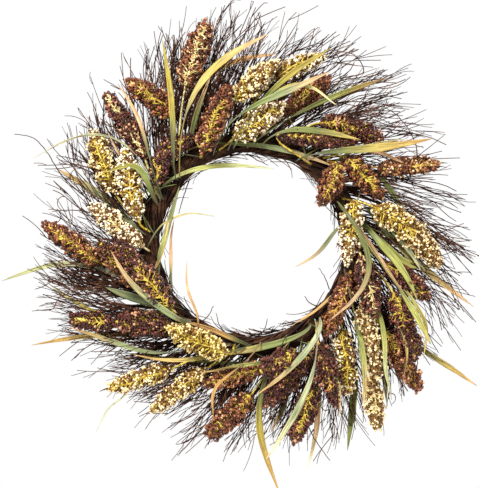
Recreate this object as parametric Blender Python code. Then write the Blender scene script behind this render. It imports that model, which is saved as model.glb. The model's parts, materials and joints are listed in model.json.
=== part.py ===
"""Harvest door wreath: seed heads, grass blades and fanned twigs on a twig rope wired to a hoop.

The wreath faces -Y and +Z is up. The world origin is the hanging point, under the top of the
hanger bail. Lengths are millimetres until they reach Blender. Angles are degrees, anticlockwise
from +X as seen from the front, and a reach is a distance outside the rope's centre line.
"""

import math

import bmesh
import bpy
import numpy as np

MM = 0.001
GAP = 0.4  # between pieces that rest on each other

# Hoop, and the rope of twigs in front of it
RING_RADIUS = 127.0
RING_WIRE = 1.6  # wire sizes are radii
ROPE_OFFSET = 5.0  # rope's centre line outside the hoop's
ROPE_HALF_WIDTH = 15.0
ROPE_HALF_DEPTH = 11.0
RELIEF_HALF_ANGLE = 10.0  # the rope is hollowed behind, where the bail's eyes turn

# Hanger bail
BAIL_WIRE = 0.9
BAIL_HALF_SPAN = 12.0
BAIL_HEIGHT = 30.0
BAIL_LEAN = 14.0
EYE_CLEARANCE = 0.8
EYE_PITCH = 2.4
EYE_TURN = 0.94

# Fans of twigs behind everything
TWIG_REACH = 166.0
TWIG_NOTCH = 44.0  # how deep the notches between the tips are
TWIG_THICKNESS = 8.0
TWIG_BACK = -5.4
TWIG_SWIRL = 0.6  # tangent of the lean away from straight outward
TWIG_BUNDLES = 7
TIPS_IN_BUNDLE = 5

# Picks: the heads and blades
STEM_RADIUS = 1.6
STEM_SWIRL = 0.8
STEM_SEATS = (20.0, 84.0, 93.0)  # where on the rope's section a stem may start
SEAT_GAP = 0.9
HUB_RADIUS = 2.6
BEHIND_SEAT = 52.0  # where on the rope's section the hubs of the tufts lie
OVER_SEAT = 118.0
TUFTS_IN_ROUND = 4
BLADE_THICKNESS = 1.4
CLEARANCE = 0.5
LIFTS = np.arange(0.0, 110.0, 1.0)
YAWS = (0.0, 2.0, -2.0, 4.0, -4.0, 7.0, -7.0, 10.0, -10.0, 14.0, -14.0)
WIDE_YAWS = (18.0, -18.0, 23.0, -23.0, 28.0, -28.0, 34.0, -34.0, 40.0, -40.0)
YAW_COST = 1.2  # a degree of yaw counts as this much lift
BLADE_RAMPS = (0.3, 0.15, 0.07)  # share of its length over which a blade rises off the rope

# Share of the length, share of the half width
HEAD_PROFILE = ((0.07, 0.66), (0.25, 0.96), (0.5, 1.0), (0.75, 0.86), (0.92, 0.54), (1.0, 0.16))
BLADE_PROFILE = ((0.0, 0.3), (0.1, 0.45), (0.3, 0.85), (0.5, 1.0), (0.8, 0.62), (1.0, 0.14))

ROPE_RADIUS = RING_RADIUS + ROPE_OFFSET
ROPE_Y = -(RING_WIRE + GAP + ROPE_HALF_DEPTH)
EYE_RADIUS = RING_WIRE + EYE_CLEARANCE + BAIL_WIRE
RELIEF_Y = -(EYE_RADIUS + BAIL_WIRE + GAP)
TWIG_FRONT = TWIG_BACK - TWIG_THICKNESS
TWIG_START = ROPE_HALF_WIDTH + 2 * GAP
TUFT_SECTOR = 360 / TUFTS_IN_ROUND
HINGE = (0.0, 0.0, math.sqrt(RING_RADIUS**2 - (BAIL_HALF_SPAN + EYE_PITCH / 2) ** 2))

# Heads, outermost first: kind, (angle, reach) of the base, of the tip, width, outward bow
HEADS = (
    ("millet", (312, 100), (304, 164), 26, 0),
    ("sorghum", (113, 90), (101, 166), 34, 0),
    ("millet", (82, 88), (69, 132), 26, 0),
    ("sorghum", (327, 74), (319, 160), 31, 0),
    ("sorghum", (210, 74), (202, 128), 26, 0),
    ("sorghum", (187, 66), (174, 142), 29, 0),
    ("sorghum", (294, 66), (282, 134), 31, 0),
    ("sorghum", (122, 64), (127, 138), 32, 0),
    ("sorghum", (270, 64), (257, 128), 32, 0),
    ("sorghum", (31, 64), (23, 138), 25, 0),
    ("millet", (237, 62), (225, 136), 26, 0),
    ("sorghum", (341, 62), (325, 128), 31, 0),
    ("millet", (159, 60), (144, 124), 32, 0),
    ("millet", (97, 56), (82, 108), 31, 0),
    ("sorghum", (60, 52), (39, 90), 29, 0),
    ("sorghum", (141, 48), (134, 144), 29, -10),
    ("sorghum", (352, 44), (343, 108), 31, 0),
    ("sorghum", (76, 44), (65, 110), 32, 0),
    ("millet", (250, 42), (239, 122), 27, 0),
    ("millet", (17, 34), (353, 116), 36, 12),
    ("millet", (331, 32), (313, 108), 29, 0),
    ("millet", (317, 30), (303, 102), 30, 0),
    ("sorghum", (43, 34), (20, 48), 30, 0),
    ("sorghum", (275, 28), (251, 62), 26, 0),
    ("sorghum", (297, 28), (274, 80), 36, 0),
    ("sorghum", (304, 22), (298, 102), 31, 0),
    ("sorghum", (200, 22), (179, 68), 29, 0),
    ("millet", (167, 20), (143, 76), 31, 0),
    ("millet", (181, 10), (166, 84), 29, 0),
    ("sorghum", (225, 16), (209, 74), 34, 0),
    ("sorghum", (291, 18), (273, 34), 29, 0),
    ("sorghum", (354, 10), (330, 52), 32, 0),
    ("sorghum", (118, 4), (98, 76), 31, 0),
    ("sorghum", (149, 14), (117, 26), 26, 18),
    ("sorghum", (77, 12), (44, 58), 23, 0),
    ("millet", (99, 8), (77, 56), 32, 0),
    ("millet", (257, 12), (224, 20), 32, 0),
    ("sorghum", (219, 0), (178, 44), 32, 0),
    ("sorghum", (343, 2), (310, 20), 27, 0),
    ("millet", (23, 14), (348, -6), 29, 0),
    ("sorghum", (44, 20), (30, -28), 29, 8),
)

# Grass blades: the points they pass through as (angle, reach), and the width
BLADES_BEHIND_HEADS = (
    (((107, 92), (99, 110), (92, 116), (84, 120)), 8),
    (((124, 16), (116, 42), (111, 62), (105, 88)), 8),
    (((168, 32), (162, 76), (160, 108), (159, 134)), 12),
    (((148, 8), (138, 6), (123, -10), (98, -26), (78, -30)), 8),
    (((109, 8), (91, 0), (68, 2), (44, 16)), 8),
    (((31, 60), (25, 64), (19, 66), (12, 74)), 9),
    (((15, 30), (1, 58), (352, 96), (345, 164)), 12),
    (((11, 48), (5, 60), (358, 72), (353, 92)), 10),
    (((3, 40), (355, 56), (352, 76), (353, 104)), 12),
    (((13, -18), (3, -30), (350, -44), (339, -62)), 6),
    (((338, 4), (326, -8), (315, -10), (301, -14)), 5),
    (((272, 4), (260, -6), (245, -10), (230, 0)), 9),
    (((275, 22), (256, 30), (238, 46), (226, 72)), 6),
    (((227, 32), (217, 64), (209, 114), (205, 178)), 9),
    (((208, 74), (203, 98), (197, 116), (192, 136)), 6),
    (((218, 10), (210, 20), (203, 42), (198, 60)), 13),
    (((197, 36), (188, 74), (185, 124), (188, 192)), 8),
    (((196, -6), (182, -16), (166, -20), (145, -14)), 8),
    (((237, -14), (222, -24), (209, -32), (200, -42)), 4),
    (((297, 64), (293, 96), (289, 134), (285, 164)), 8),
    (((285, 62), (282, 84), (277, 110)), 8),
    (((313, 72), (307, 96), (301, 126), (296, 160)), 12),
    (((330, 60), (322, 82), (316, 110), (311, 140)), 8),
    (((328, 114), (328, 138), (329, 170), (328, 210)), 9),
)
BLADES_OVER_HEADS = (
    (((133, 18), (122, 58), (117, 100), (114, 148)), 9),
    (((118, 64), (111, 86), (101, 110), (94, 126), (87, 136)), 12),
    (((140, 42), (133, 72), (130, 100), (130, 130)), 6),
    (((154, 10), (148, 28), (144, 44), (147, 60), (152, 72)), 9),
    (((140, 58), (139, 86), (143, 122), (151, 152), (157, 166)), 4),
    (((99, 42), (90, 42), (79, 64), (67, 104)), 10),
    (((89, 46), (81, 74), (75, 110), (69, 134)), 9),
    (((86, 52), (78, 84), (73, 100), (69, 96), (61, 78)), 6),
    (((71, 50), (62, 82), (57, 112), (52, 138)), 10),
    (((79, 20), (67, 30), (57, 42), (46, 58)), 10),
    (((53, 20), (42, 50), (35, 88), (31, 130)), 12),
    (((46, 42), (42, 62), (37, 76), (30, 88)), 9),
    (((7, 12), (354, 34), (346, 56), (336, 106)), 4),
    (((7, 8), (355, 26), (344, 32), (330, 20), (319, 8)), 8),
    (((310, 10), (297, 22), (286, 38), (274, 56)), 10),
    (((309, 10), (296, 4), (276, 4), (254, 18)), 10),
    (((233, 54), (226, 70), (214, 90), (206, 122)), 8),
    (((228, 4), (213, 10), (196, 36), (185, 44)), 10),
    (((264, 34), (256, 46), (253, 68), (257, 90)), 5),
    (((277, 36), (271, 64), (271, 110), (276, 184)), 12),
    (((300, 42), (292, 64), (283, 100), (275, 136)), 9),
    (((320, 46), (316, 70), (312, 94), (307, 110)), 9),
    (((342, 68), (339, 92), (336, 112), (332, 122)), 9),
)

COLOURS = {  # base colour, roughness, metallic
    "steel": ((0.20, 0.19, 0.18), 0.45, 1.0),
    "rope": ((0.07, 0.035, 0.02), 0.85, 0.0),
    "twig": ((0.11, 0.07, 0.05), 0.85, 0.0),
    "sorghum": ((0.17, 0.035, 0.03), 0.6, 0.0),
    "millet": ((0.74, 0.55, 0.24), 0.65, 0.0),
    "grass": ((0.36, 0.34, 0.09), 0.5, 0.0),
}


def polar(angle, reach):
    """X and Z of a point at this angle and distance from the rope's centre line."""
    turn = math.radians(angle)
    radius = ROPE_RADIUS + reach
    return np.array([radius * math.cos(turn), radius * math.sin(turn)])


def smooth_step(value):
    value = np.clip(value, 0.0, 1.0)
    return value * value * (3 - 2 * value)


def smooth_path(controls, steps=24):
    """Points on a Catmull-Rom curve through the controls."""
    controls = np.asarray(controls, float)
    ends = 2 * controls[[0, -1]] - controls[[1, -2]]
    knots = np.vstack([ends[0], controls, ends[1]])
    share = np.linspace(0, 1, steps, endpoint=False)[:, None]
    runs = []
    for before, start, end, after in zip(knots, knots[1:], knots[2:], knots[3:]):
        cubic = -before + 3 * start - 3 * end + after
        square = 2 * before - 5 * start + 4 * end - after
        runs.append(start + share * ((end - before) + share * (square + share * cubic)) / 2)
    return np.vstack([*runs, controls[-1:]])


def arc_lengths(points):
    steps = np.linalg.norm(np.diff(points, axis=0), axis=1)
    return np.concatenate([[0.0], np.cumsum(steps)])


def at_lengths(points, wanted):
    """Points at the wanted distances along a polyline."""
    along = arc_lengths(points)
    return np.column_stack([np.interp(wanted, along, column) for column in points.T])


def seat_on_rope(seat, gap):
    """Reach and Y of a point this far off the rope's surface; seat 0 is outermost, 90 in front."""
    turn = math.radians(seat)
    width, depth = ROPE_HALF_WIDTH * math.cos(turn), ROPE_HALF_DEPTH * math.sin(turn)
    normal = np.array([math.cos(turn) / ROPE_HALF_WIDTH, math.sin(turn) / ROPE_HALF_DEPTH])
    out, front = np.array([width, depth]) + gap * normal / np.linalg.norm(normal)
    return out, ROPE_Y - front


def hanging_point():
    """Where a hook bears on the bail's top, with the hoop's centre as zero."""
    lean = math.radians(BAIL_LEAN)
    back, up = EYE_RADIUS, BAIL_HEIGHT - BAIL_WIRE
    return (
        0.0,
        HINGE[1] + back * math.cos(lean) - up * math.sin(lean),
        HINGE[2] + back * math.sin(lean) + up * math.cos(lean),
    )


def onto_hub(angle):
    """The nearest angle at which a blade's root lies inside a tuft's hub."""
    margin = math.degrees(4 * HUB_RADIUS / ROPE_RADIUS)
    number, within = divmod(angle % 360, TUFT_SECTOR)
    return number * TUFT_SECTOR + min(max(within, margin), TUFT_SECTOR - margin)


class Layers:
    """Balls that fill what is planted so far, and how far forward the next pick must stand."""

    def __init__(self):
        self.balls = np.empty((0, 4))
        self.is_hub = np.empty(0, bool)

    def add(self, centres, radii, is_hub=False):
        radii = np.broadcast_to(radii, len(centres))
        self.balls = np.vstack([self.balls, np.column_stack([centres, radii])])
        self.is_hub = np.append(self.is_hub, np.full(len(centres), is_hub))

    def lift(self, centres, radii, weights, in_hub):
        """Smallest lift toward the front at which no ball is too near one already planted."""
        plan, depth = centres[:, [0, 2]], centres[:, 1]
        beyond_rope = np.linalg.norm(plan, axis=1) > ROPE_RADIUS + ROPE_HALF_WIDTH + GAP
        limit = np.where(beyond_rope, TWIG_FRONT - CLEARANCE - radii, math.inf)
        free = (depth[:, None] - LIFTS * weights[:, None] <= limit[:, None]).all(axis=0)
        reach = radii.max() + self.balls[:, 3] + CLEARANCE
        near = (self.balls[:, [0, 2]] + reach[:, None] > plan.min(axis=0)).all(axis=1)
        near &= (self.balls[:, [0, 2]] - reach[:, None] < plan.max(axis=0)).all(axis=1)
        others, is_hub = self.balls[near], self.is_hub[near]
        apart = plan[:, None] - others[None, :, [0, 2]]
        need = (radii[:, None] + others[None, :, 3] + CLEARANCE) ** 2 - (apart**2).sum(axis=2)
        need[in_hub[:, None] & is_hub] = 0
        mine, theirs = np.nonzero(need > 0)
        if len(mine):
            rise = depth[mine] - others[theirs, 1]
            need = np.sqrt(need[mine, theirs])
            moved = np.abs(rise[:, None] - LIFTS * weights[mine][:, None])
            free &= (moved >= need[:, None]).all(axis=0)
        return LIFTS[free.argmax()] if free.any() else None


class Pick:
    """One head or blade: its path in the wreath's plane, and how it rises off the rope."""

    def __init__(self, controls, yaw, root_reach, root_y, level_y, ramp):
        first_angle, first_reach = controls[0]
        swirl = math.log((ROPE_RADIUS + max(first_reach, root_reach)) / (ROPE_RADIUS + root_reach))
        self.root_angle = first_angle + math.degrees(STEM_SWIRL * swirl) + yaw
        if ramp is not None:
            self.root_angle = onto_hub(self.root_angle)
        plan = [polar(self.root_angle, root_reach), *(polar(*point) for point in controls)]
        self.yaw = yaw
        self.plan = smooth_path(plan)
        self.length = arc_lengths(self.plan)[-1]
        base = np.argmin(np.linalg.norm(self.plan - polar(*controls[0]), axis=1))
        self.base_length = arc_lengths(self.plan)[base]
        self.ramp_length = self.base_length if ramp is None else ramp * self.length
        self.root_y = root_y
        self.level_y = level_y

    def weights(self, stations):
        """Share of the lift at each station: none at the root, all of it beyond the ramp."""
        return smooth_step(stations / max(self.ramp_length, 1.0))

    def points(self, stations, lift):
        plan = at_lengths(self.plan, stations)
        depth = self.root_y + (self.level_y - self.root_y - lift) * self.weights(stations)
        return np.column_stack([plan[:, 0], depth, plan[:, 1]])


def between(values, count=110):
    """Rows evenly spread along the straight runs that join the stations' rows."""
    values = np.asarray(values, float)
    places = np.linspace(0, len(values) - 1, count)
    columns = values.reshape(len(values), -1).T
    filled = np.column_stack([np.interp(places, range(len(values)), column) for column in columns])
    return filled.reshape(count, *values.shape[1:])


def fitted(layers, pick, shape, hub_length):
    """The pick's cost, stations, lift and balls where it stands clear, or None."""
    stations, rows = shape(pick)
    points, weights = between(pick.points(stations, 0.0)), between(pick.weights(stations))
    centres = np.vstack([points + offset for offset, _ in rows])
    radii = np.concatenate([radius for _, radius in rows])
    weights = np.tile(weights, len(rows))
    in_hub = np.tile(between(stations) < hub_length, len(rows))
    lift = layers.lift(centres, radii, weights, in_hub)
    if lift is None:
        return None
    centres[:, 1] -= lift * weights
    return lift + YAW_COST * abs(pick.yaw), stations, lift, centres, radii


def plant(layers, picks_at, shape, hub_length=0.0):
    """Takes the pick and lift that stand least far forward and turned, and fills their place.

    picks_at makes the picks for a yaw. shape gives a pick's stations, and the offset and radii of
    each row of balls in it. The first hub_length of its path may touch a hub.
    """
    for yaws in (YAWS, WIDE_YAWS):
        picks = [pick for yaw in yaws for pick in picks_at(yaw)]
        fits = [(fitted(layers, pick, shape, hub_length), pick) for pick in picks]
        fits = [(fit, pick) for fit, pick in fits if fit is not None]
        if fits:
            (_, stations, lift, centres, radii), pick = min(fits, key=lambda pair: pair[0][0])
            layers.add(centres, radii)
            return pick, stations, pick.points(stations, lift)
    raise ValueError(f"no clear place for a pick rooted at {picks[0].root_angle:.0f} degrees")


def profile_at(profile, share):
    shares, sizes = zip(*profile)
    return np.interp(share, shares, sizes)


def head_stations(pick):
    stem = np.array([0.0, 0.2, 0.4, 0.6, 0.8]) * pick.base_length
    shares = np.array([0.0, *(share for share, _ in HEAD_PROFILE)])
    return np.concatenate([stem, pick.base_length + shares * (pick.length - pick.base_length)])


def head_radii(half_width):
    """Stem radius at the stem's five stations and the base, then the head's own profile."""
    return np.array([*[STEM_RADIUS] * 6, *(half_width * size for _, size in HEAD_PROFILE)])


def head_controls(base, tip, bow):
    """The base, a middle bowed away from the wreath's centre, and the tip."""
    if not bow:
        return [base, tip]
    middle = (polar(*base) + polar(*tip)) / 2
    middle *= 1 + bow / np.linalg.norm(middle)
    angle = math.degrees(math.atan2(middle[1], middle[0]))
    return [base, (angle, np.linalg.norm(middle) - ROPE_RADIUS), tip]


def plant_head(layers, base, tip, width, bow):
    """Finds a clear place for one head, and returns its points and radii."""
    radii = head_radii(width / 2)
    level = TWIG_FRONT - CLEARANCE - width / 2
    controls = head_controls(base, tip, bow)
    seats = [seat_on_rope(seat, STEM_RADIUS + SEAT_GAP) for seat in STEM_SEATS]
    filled = [(0.0, between(radii))]
    _, _, points = plant(
        layers,
        lambda yaw: [Pick(controls, yaw, reach, root_y, level, None) for reach, root_y in seats],
        lambda pick: (head_stations(pick), filled),
    )
    return points, radii


def sideways(points):
    """Unit vectors across a path, in the wreath's plane."""
    run = np.gradient(points, axis=0)
    across = np.column_stack([-run[:, 2], np.zeros(len(run)), run[:, 0]])
    return across / np.linalg.norm(across, axis=1)[:, None]


def blade_stations(pick):
    ramp = np.array([0.0, 0.33, 0.67]) * pick.ramp_length
    return np.concatenate([ramp, np.linspace(pick.ramp_length, pick.length, 7)])


def blade_halves(pick, stations, width):
    return width / 2 * profile_at(BLADE_PROFILE, stations / pick.length)


def plant_blade(layers, controls, width, seat, level):
    """Finds a clear way for one blade from its hub, and returns its points and half widths."""
    reach, root_y = seat_on_rope(seat, HUB_RADIUS + SEAT_GAP)

    def picks_at(yaw):
        return [Pick(controls, yaw, reach, root_y, level, ramp) for ramp in BLADE_RAMPS]

    def shape(pick):
        stations = blade_stations(pick)
        half = blade_halves(pick, stations, width)
        across = between(half[:, None] * sideways(pick.points(stations, 0.0)))
        radii = BLADE_THICKNESS / 2 + 0.2 * between(half)
        return stations, [(place * across, radii) for place in (-0.65, 0.0, 0.65)]

    pick, stations, points = plant(layers, picks_at, shape, 3 * HUB_RADIUS)
    return pick.root_angle % 360, points, blade_halves(pick, stations, width)


def ring_points(radius, depth, start, end, count):
    turns = np.radians(np.linspace(start, end, count))
    return np.column_stack([radius * np.cos(turns), np.full(count, depth), radius * np.sin(turns)])


def add_rope_and_hub(layers):
    """The rope and the two rings of tuft hubs, as balls that every pick stays clear of."""
    for out, radius in ((-5.5, 9.0), (0.0, ROPE_HALF_DEPTH), (5.5, 9.0)):
        layers.add(ring_points(ROPE_RADIUS + out, ROPE_Y, 0, 357, 120), radius)
    for seat in (BEHIND_SEAT, OVER_SEAT):
        reach, depth = seat_on_rope(seat, HUB_RADIUS + SEAT_GAP)
        layers.add(ring_points(ROPE_RADIUS + reach, depth, 0, 359, 360), HUB_RADIUS, True)


def clear_scene():
    for thing in list(bpy.data.objects):
        bpy.data.objects.remove(thing, do_unlink=True)


def material(name):
    found = bpy.data.materials.get(name)
    if found:
        return found
    colour, roughness, metallic = COLOURS[name]
    made = bpy.data.materials.new(name)
    made.use_nodes = True
    shader = made.node_tree.nodes["Principled BSDF"]
    shader.inputs["Base Color"].default_value = (*colour, 1.0)
    shader.inputs["Roughness"].default_value = roughness
    shader.inputs["Metallic"].default_value = metallic
    return made


def link(name, data, parent, finish):
    made = bpy.data.objects.new(name, data)
    bpy.context.collection.objects.link(made)
    made.parent = parent
    if data is not None:
        data.materials.append(material(finish))
    return made


def tube(name, points, radii, parent, finish, sides_setting=1):
    """A curve whose bevel swells and tapers with the radii."""
    curve = bpy.data.curves.new(name, "CURVE")
    curve.dimensions = "3D"
    curve.bevel_depth = MM
    curve.bevel_resolution = sides_setting
    curve.use_fill_caps = True
    spline = curve.splines.new("POLY")
    spline.points.add(len(points) - 1)
    for point, place, radius in zip(spline.points, points, np.broadcast_to(radii, len(points))):
        point.co = (*(place * MM), 1.0)
        point.radius = radius
    return link(name, curve, parent, finish)


def torus(name, major, minor, segments, sides, parent, finish):
    """A ring in the wreath's plane."""
    bpy.ops.mesh.primitive_torus_add(
        major_segments=segments, minor_segments=sides, major_radius=major * MM,
        minor_radius=minor * MM, rotation=(math.pi / 2, 0, 0),
    )
    made = bpy.context.object
    bpy.ops.object.transform_apply(location=False, rotation=True, scale=False)
    made.name = name
    made.parent = parent
    made.data.materials.append(material(finish))
    made.data.shade_smooth()
    return made


def frame_ring(parent):
    torus("frame_ring", RING_RADIUS, RING_WIRE, 48, 6, parent, "steel")


def vine_rope(parent):
    """The rope of twisted twigs, hollowed behind where the bail's eyes go round the hoop."""
    rope = torus("vine_rope", ROPE_RADIUS, ROPE_HALF_WIDTH, 48, 8, parent, "rope")
    relief_half_width = ROPE_RADIUS * math.sin(math.radians(RELIEF_HALF_ANGLE))
    for vertex in rope.data.vertices:
        depth = vertex.co.y * ROPE_HALF_DEPTH / ROPE_HALF_WIDTH + ROPE_Y * MM
        if vertex.co.z > 0 and abs(vertex.co.x) < relief_half_width * MM:
            depth = min(depth, RELIEF_Y * MM)
        vertex.co.y = depth


def bail_points():
    """One arm of the bail from its cut end, round the hoop and up to the top, then mirrored."""
    turns = np.linspace(-EYE_TURN, 0.0, 15)
    eye = np.column_stack([
        -BAIL_HALF_SPAN + EYE_PITCH * turns,
        EYE_RADIUS * np.cos(2 * math.pi * turns),
        EYE_RADIUS * np.sin(2 * math.pi * turns),
    ])
    rise = BAIL_HEIGHT - BAIL_HALF_SPAN
    leg = np.array([[-BAIL_HALF_SPAN, EYE_RADIUS, rise / 2]])
    bend = np.radians(np.linspace(180, 90, 7))
    arch = np.column_stack([
        BAIL_HALF_SPAN * np.cos(bend),
        np.full(len(bend), EYE_RADIUS),
        rise + BAIL_HALF_SPAN * np.sin(bend),
    ])
    half = np.vstack([eye, leg, arch])
    return np.vstack([half, half[-2::-1] * [-1, 1, 1]])


def hanger_bail(parent):
    bail = tube("hanger_bail", bail_points(), BAIL_WIRE, parent, "steel")
    bail.location = [value * MM for value in HINGE]
    bail.rotation_euler.x = math.radians(BAIL_LEAN)


def twig_bundle(number, parent):
    """A fan of twigs as a thick comb-edged sheet that sweeps clockwise."""
    sheet = bmesh.new()
    columns, rows = 2 * TIPS_IN_BUNDLE, 3
    bmesh.ops.create_grid(sheet, x_segments=columns, y_segments=rows, size=0.5)
    sector = 360 / TWIG_BUNDLES
    margin = math.degrees(GAP / ROPE_RADIUS)
    for vertex in sheet.verts:
        across, out = 0.5 - vertex.co.x, vertex.co.y + 0.5
        column, row = round(across * columns), round(out * rows)
        notch = TWIG_NOTCH if row == rows and column % 2 == 0 else 0.0
        reach = TWIG_START + (TWIG_REACH - TWIG_START) * out - notch
        swirl = math.log((ROPE_RADIUS + reach) / (ROPE_RADIUS + TWIG_START))
        angle = number * sector + margin + across * (sector - 2 * margin)
        x, z = polar(angle - math.degrees(TWIG_SWIRL * swirl), reach)
        vertex.co = (x * MM, (TWIG_BACK + TWIG_FRONT) / 2 * MM, z * MM)
    name = f"twig_bundle_{number + 1}"
    mesh = bpy.data.meshes.new(name)
    sheet.to_mesh(mesh)
    sheet.free()
    made = link(name, mesh, parent, "twig")
    solidify = made.modifiers.new("thickness", "SOLIDIFY")
    solidify.thickness = TWIG_THICKNESS * MM
    solidify.offset = 0.0


def blade_sheet(name, points, half_widths, parent):
    """One blade as a thin strip, kept as the helper that a tuft is joined from."""
    strip = bmesh.new()
    steps = len(points) - 1
    bmesh.ops.create_grid(strip, x_segments=1, y_segments=steps, size=0.5)
    sides = sideways(points)
    for vertex in strip.verts:
        step = round((vertex.co.y + 0.5) * steps)
        place = points[step] + 2 * vertex.co.x * half_widths[step] * sides[step]
        vertex.co = place * MM
    mesh = bpy.data.meshes.new(name)
    strip.to_mesh(mesh)
    strip.free()
    made = link(name, mesh, parent, "grass")
    solidify = made.modifiers.new("thickness", "SOLIDIFY")
    solidify.thickness = BLADE_THICKNESS * MM
    solidify.offset = 0.0
    made.hide_render = True
    made.display_type = "WIRE"
    return made


def grass_tuft(name, number, seat, blades, parent):
    """Blades that spring from one bound hub lying along the rope."""
    reach, depth = seat_on_rope(seat, HUB_RADIUS + SEAT_GAP)
    margin = math.degrees(GAP / ROPE_RADIUS)
    start = number * TUFT_SECTOR
    end = start + TUFT_SECTOR
    places = ring_points(ROPE_RADIUS + reach, depth, start + margin, end - margin, 10)
    guide = tube(name + "_guide", places, HUB_RADIUS, parent, "grass")
    graph = bpy.context.evaluated_depsgraph_get()
    hub = bpy.data.meshes.new_from_object(guide.evaluated_get(graph))
    bpy.data.objects.remove(guide, do_unlink=True)
    closed = bmesh.new()
    closed.from_mesh(hub)
    bmesh.ops.remove_doubles(closed, verts=closed.verts, dist=0.01 * MM)
    closed.to_mesh(hub)
    closed.free()
    tuft = link(name, hub, parent, "grass")
    for index, (_, points, half_widths) in enumerate(blades):
        join = tuft.modifiers.new(f"blade_{index + 1}", "BOOLEAN")
        join.operation = "UNION"
        join.solver = "MANIFOLD"
        join.object = blade_sheet(f"{name}_blade_{index + 1}", points, half_widths, parent)


def plant_heads(layers, parent):
    counts = {"sorghum": 0, "millet": 0}
    for kind, base, tip, width, bow in HEADS:
        counts[kind] += 1
        points, radii = plant_head(layers, base, tip, width, bow)
        tube(f"{kind}_head_{counts[kind]:02d}", points, radii, parent, kind)


def plant_grass(name, layers, blades, seat, level, parent):
    """One round of tufts, each with the blades rooted in its own sector."""
    planted = [plant_blade(layers, controls, width, seat, level) for controls, width in blades]
    for number in range(TUFTS_IN_ROUND):
        own = [blade for blade in planted if blade[0] // TUFT_SECTOR == number]
        grass_tuft(f"{name}_{number + 1}", number, seat, own, parent)


def main():
    clear_scene()
    wreath = link("wreath", None, None, None)
    wreath.location = [-value * MM for value in hanging_point()]
    frame_ring(wreath)
    vine_rope(wreath)
    hanger_bail(wreath)
    for number in range(TWIG_BUNDLES):
        twig_bundle(number, wreath)
    layers = Layers()
    add_rope_and_hub(layers)
    behind = TWIG_FRONT - CLEARANCE - BLADE_THICKNESS
    plant_grass("back_tuft", layers, BLADES_BEHIND_HEADS, BEHIND_SEAT, behind, wreath)
    plant_heads(layers, wreath)
    _, hub_y = seat_on_rope(OVER_SEAT, HUB_RADIUS + SEAT_GAP)
    over = hub_y - HUB_RADIUS - CLEARANCE
    plant_grass("front_tuft", layers, BLADES_OVER_HEADS, OVER_SEAT, over, wreath)


if __name__ == "__main__":
    main()
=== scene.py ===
"""Looks of the harvest door wreath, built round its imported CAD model.

Seed heads on moulded stalks, dyed grass blades and fans of fine twigs cover a rope of twisted
twigs, which is wired to a steel hoop. Sizes here are millimetres until they reach a mesh.
"""

from __future__ import annotations

import enum
import itertools
import json
import logging
import math
from dataclasses import dataclass

import bmesh
import bpy
import numpy as np
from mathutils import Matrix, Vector

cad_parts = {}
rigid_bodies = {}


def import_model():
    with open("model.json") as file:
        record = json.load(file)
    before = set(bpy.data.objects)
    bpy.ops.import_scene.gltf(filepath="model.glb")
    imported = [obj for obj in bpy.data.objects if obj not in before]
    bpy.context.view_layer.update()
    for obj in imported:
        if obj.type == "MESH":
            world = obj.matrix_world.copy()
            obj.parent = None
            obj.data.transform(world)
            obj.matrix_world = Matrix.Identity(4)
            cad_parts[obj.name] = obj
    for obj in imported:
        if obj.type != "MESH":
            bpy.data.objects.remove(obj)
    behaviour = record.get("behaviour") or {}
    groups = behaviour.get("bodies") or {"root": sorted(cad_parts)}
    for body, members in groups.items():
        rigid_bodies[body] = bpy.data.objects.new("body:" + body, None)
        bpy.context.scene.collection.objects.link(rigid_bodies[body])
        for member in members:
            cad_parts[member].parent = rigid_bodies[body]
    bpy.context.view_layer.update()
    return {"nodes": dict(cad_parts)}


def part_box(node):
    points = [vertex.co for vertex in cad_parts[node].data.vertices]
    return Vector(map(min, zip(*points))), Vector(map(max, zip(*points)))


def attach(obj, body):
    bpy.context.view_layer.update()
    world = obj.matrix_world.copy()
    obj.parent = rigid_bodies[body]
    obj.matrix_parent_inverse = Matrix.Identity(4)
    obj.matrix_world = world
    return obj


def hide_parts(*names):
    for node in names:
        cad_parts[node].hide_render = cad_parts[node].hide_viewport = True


LOG = logging.getLogger("wreath")
MM = 0.001
FULL_TURN = 2 * math.pi
GOLDEN_TURN = math.pi * (3 - math.sqrt(5))
FRAME_WIDTH, FRAME_HEIGHT = 479, 488
MERGE = 0.004 * MM  # corners of the CAD model nearer than this are one
COPLANAR = 0.9999  # cosine above which two faces lie in one plane

Array = np.ndarray
Draws = np.random.Generator
Tree, Node, Socket = bpy.types.NodeTree, bpy.types.Node, bpy.types.NodeSocket
MeshEdit = bmesh.types.BMesh
Corners = set[bmesh.types.BMVert]
Stop = tuple[float, str]  # place on a colour ramp, and its sRGB hex


# ------------------------------------------------------------------ small helpers


def linear(hex_colour: str) -> tuple[float, ...]:
    """Turn an sRGB hex value such as "#aa8844" into linear RGBA.

    Args:
        hex_colour: The colour, with a leading hash.

    Returns:
        Red, green, blue and an alpha of 1, in linear light.
    """
    parts = [int(hex_colour[place : place + 2], 16) / 255 for place in (1, 3, 5)]
    light = (part / 12.92 if part <= 0.04045 else ((part + 0.055) / 1.055) ** 2.4 for part in parts)
    return (*light, 1.0)


def fill(tree: Tree, node: Node, inputs: dict) -> None:
    """Set a node's inputs, each to a value or to an output socket that it is linked from."""
    for name, value in inputs.items():
        if isinstance(value, Socket):
            tree.links.new(value, node.inputs[name])
        else:
            node.inputs[name].default_value = value


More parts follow.
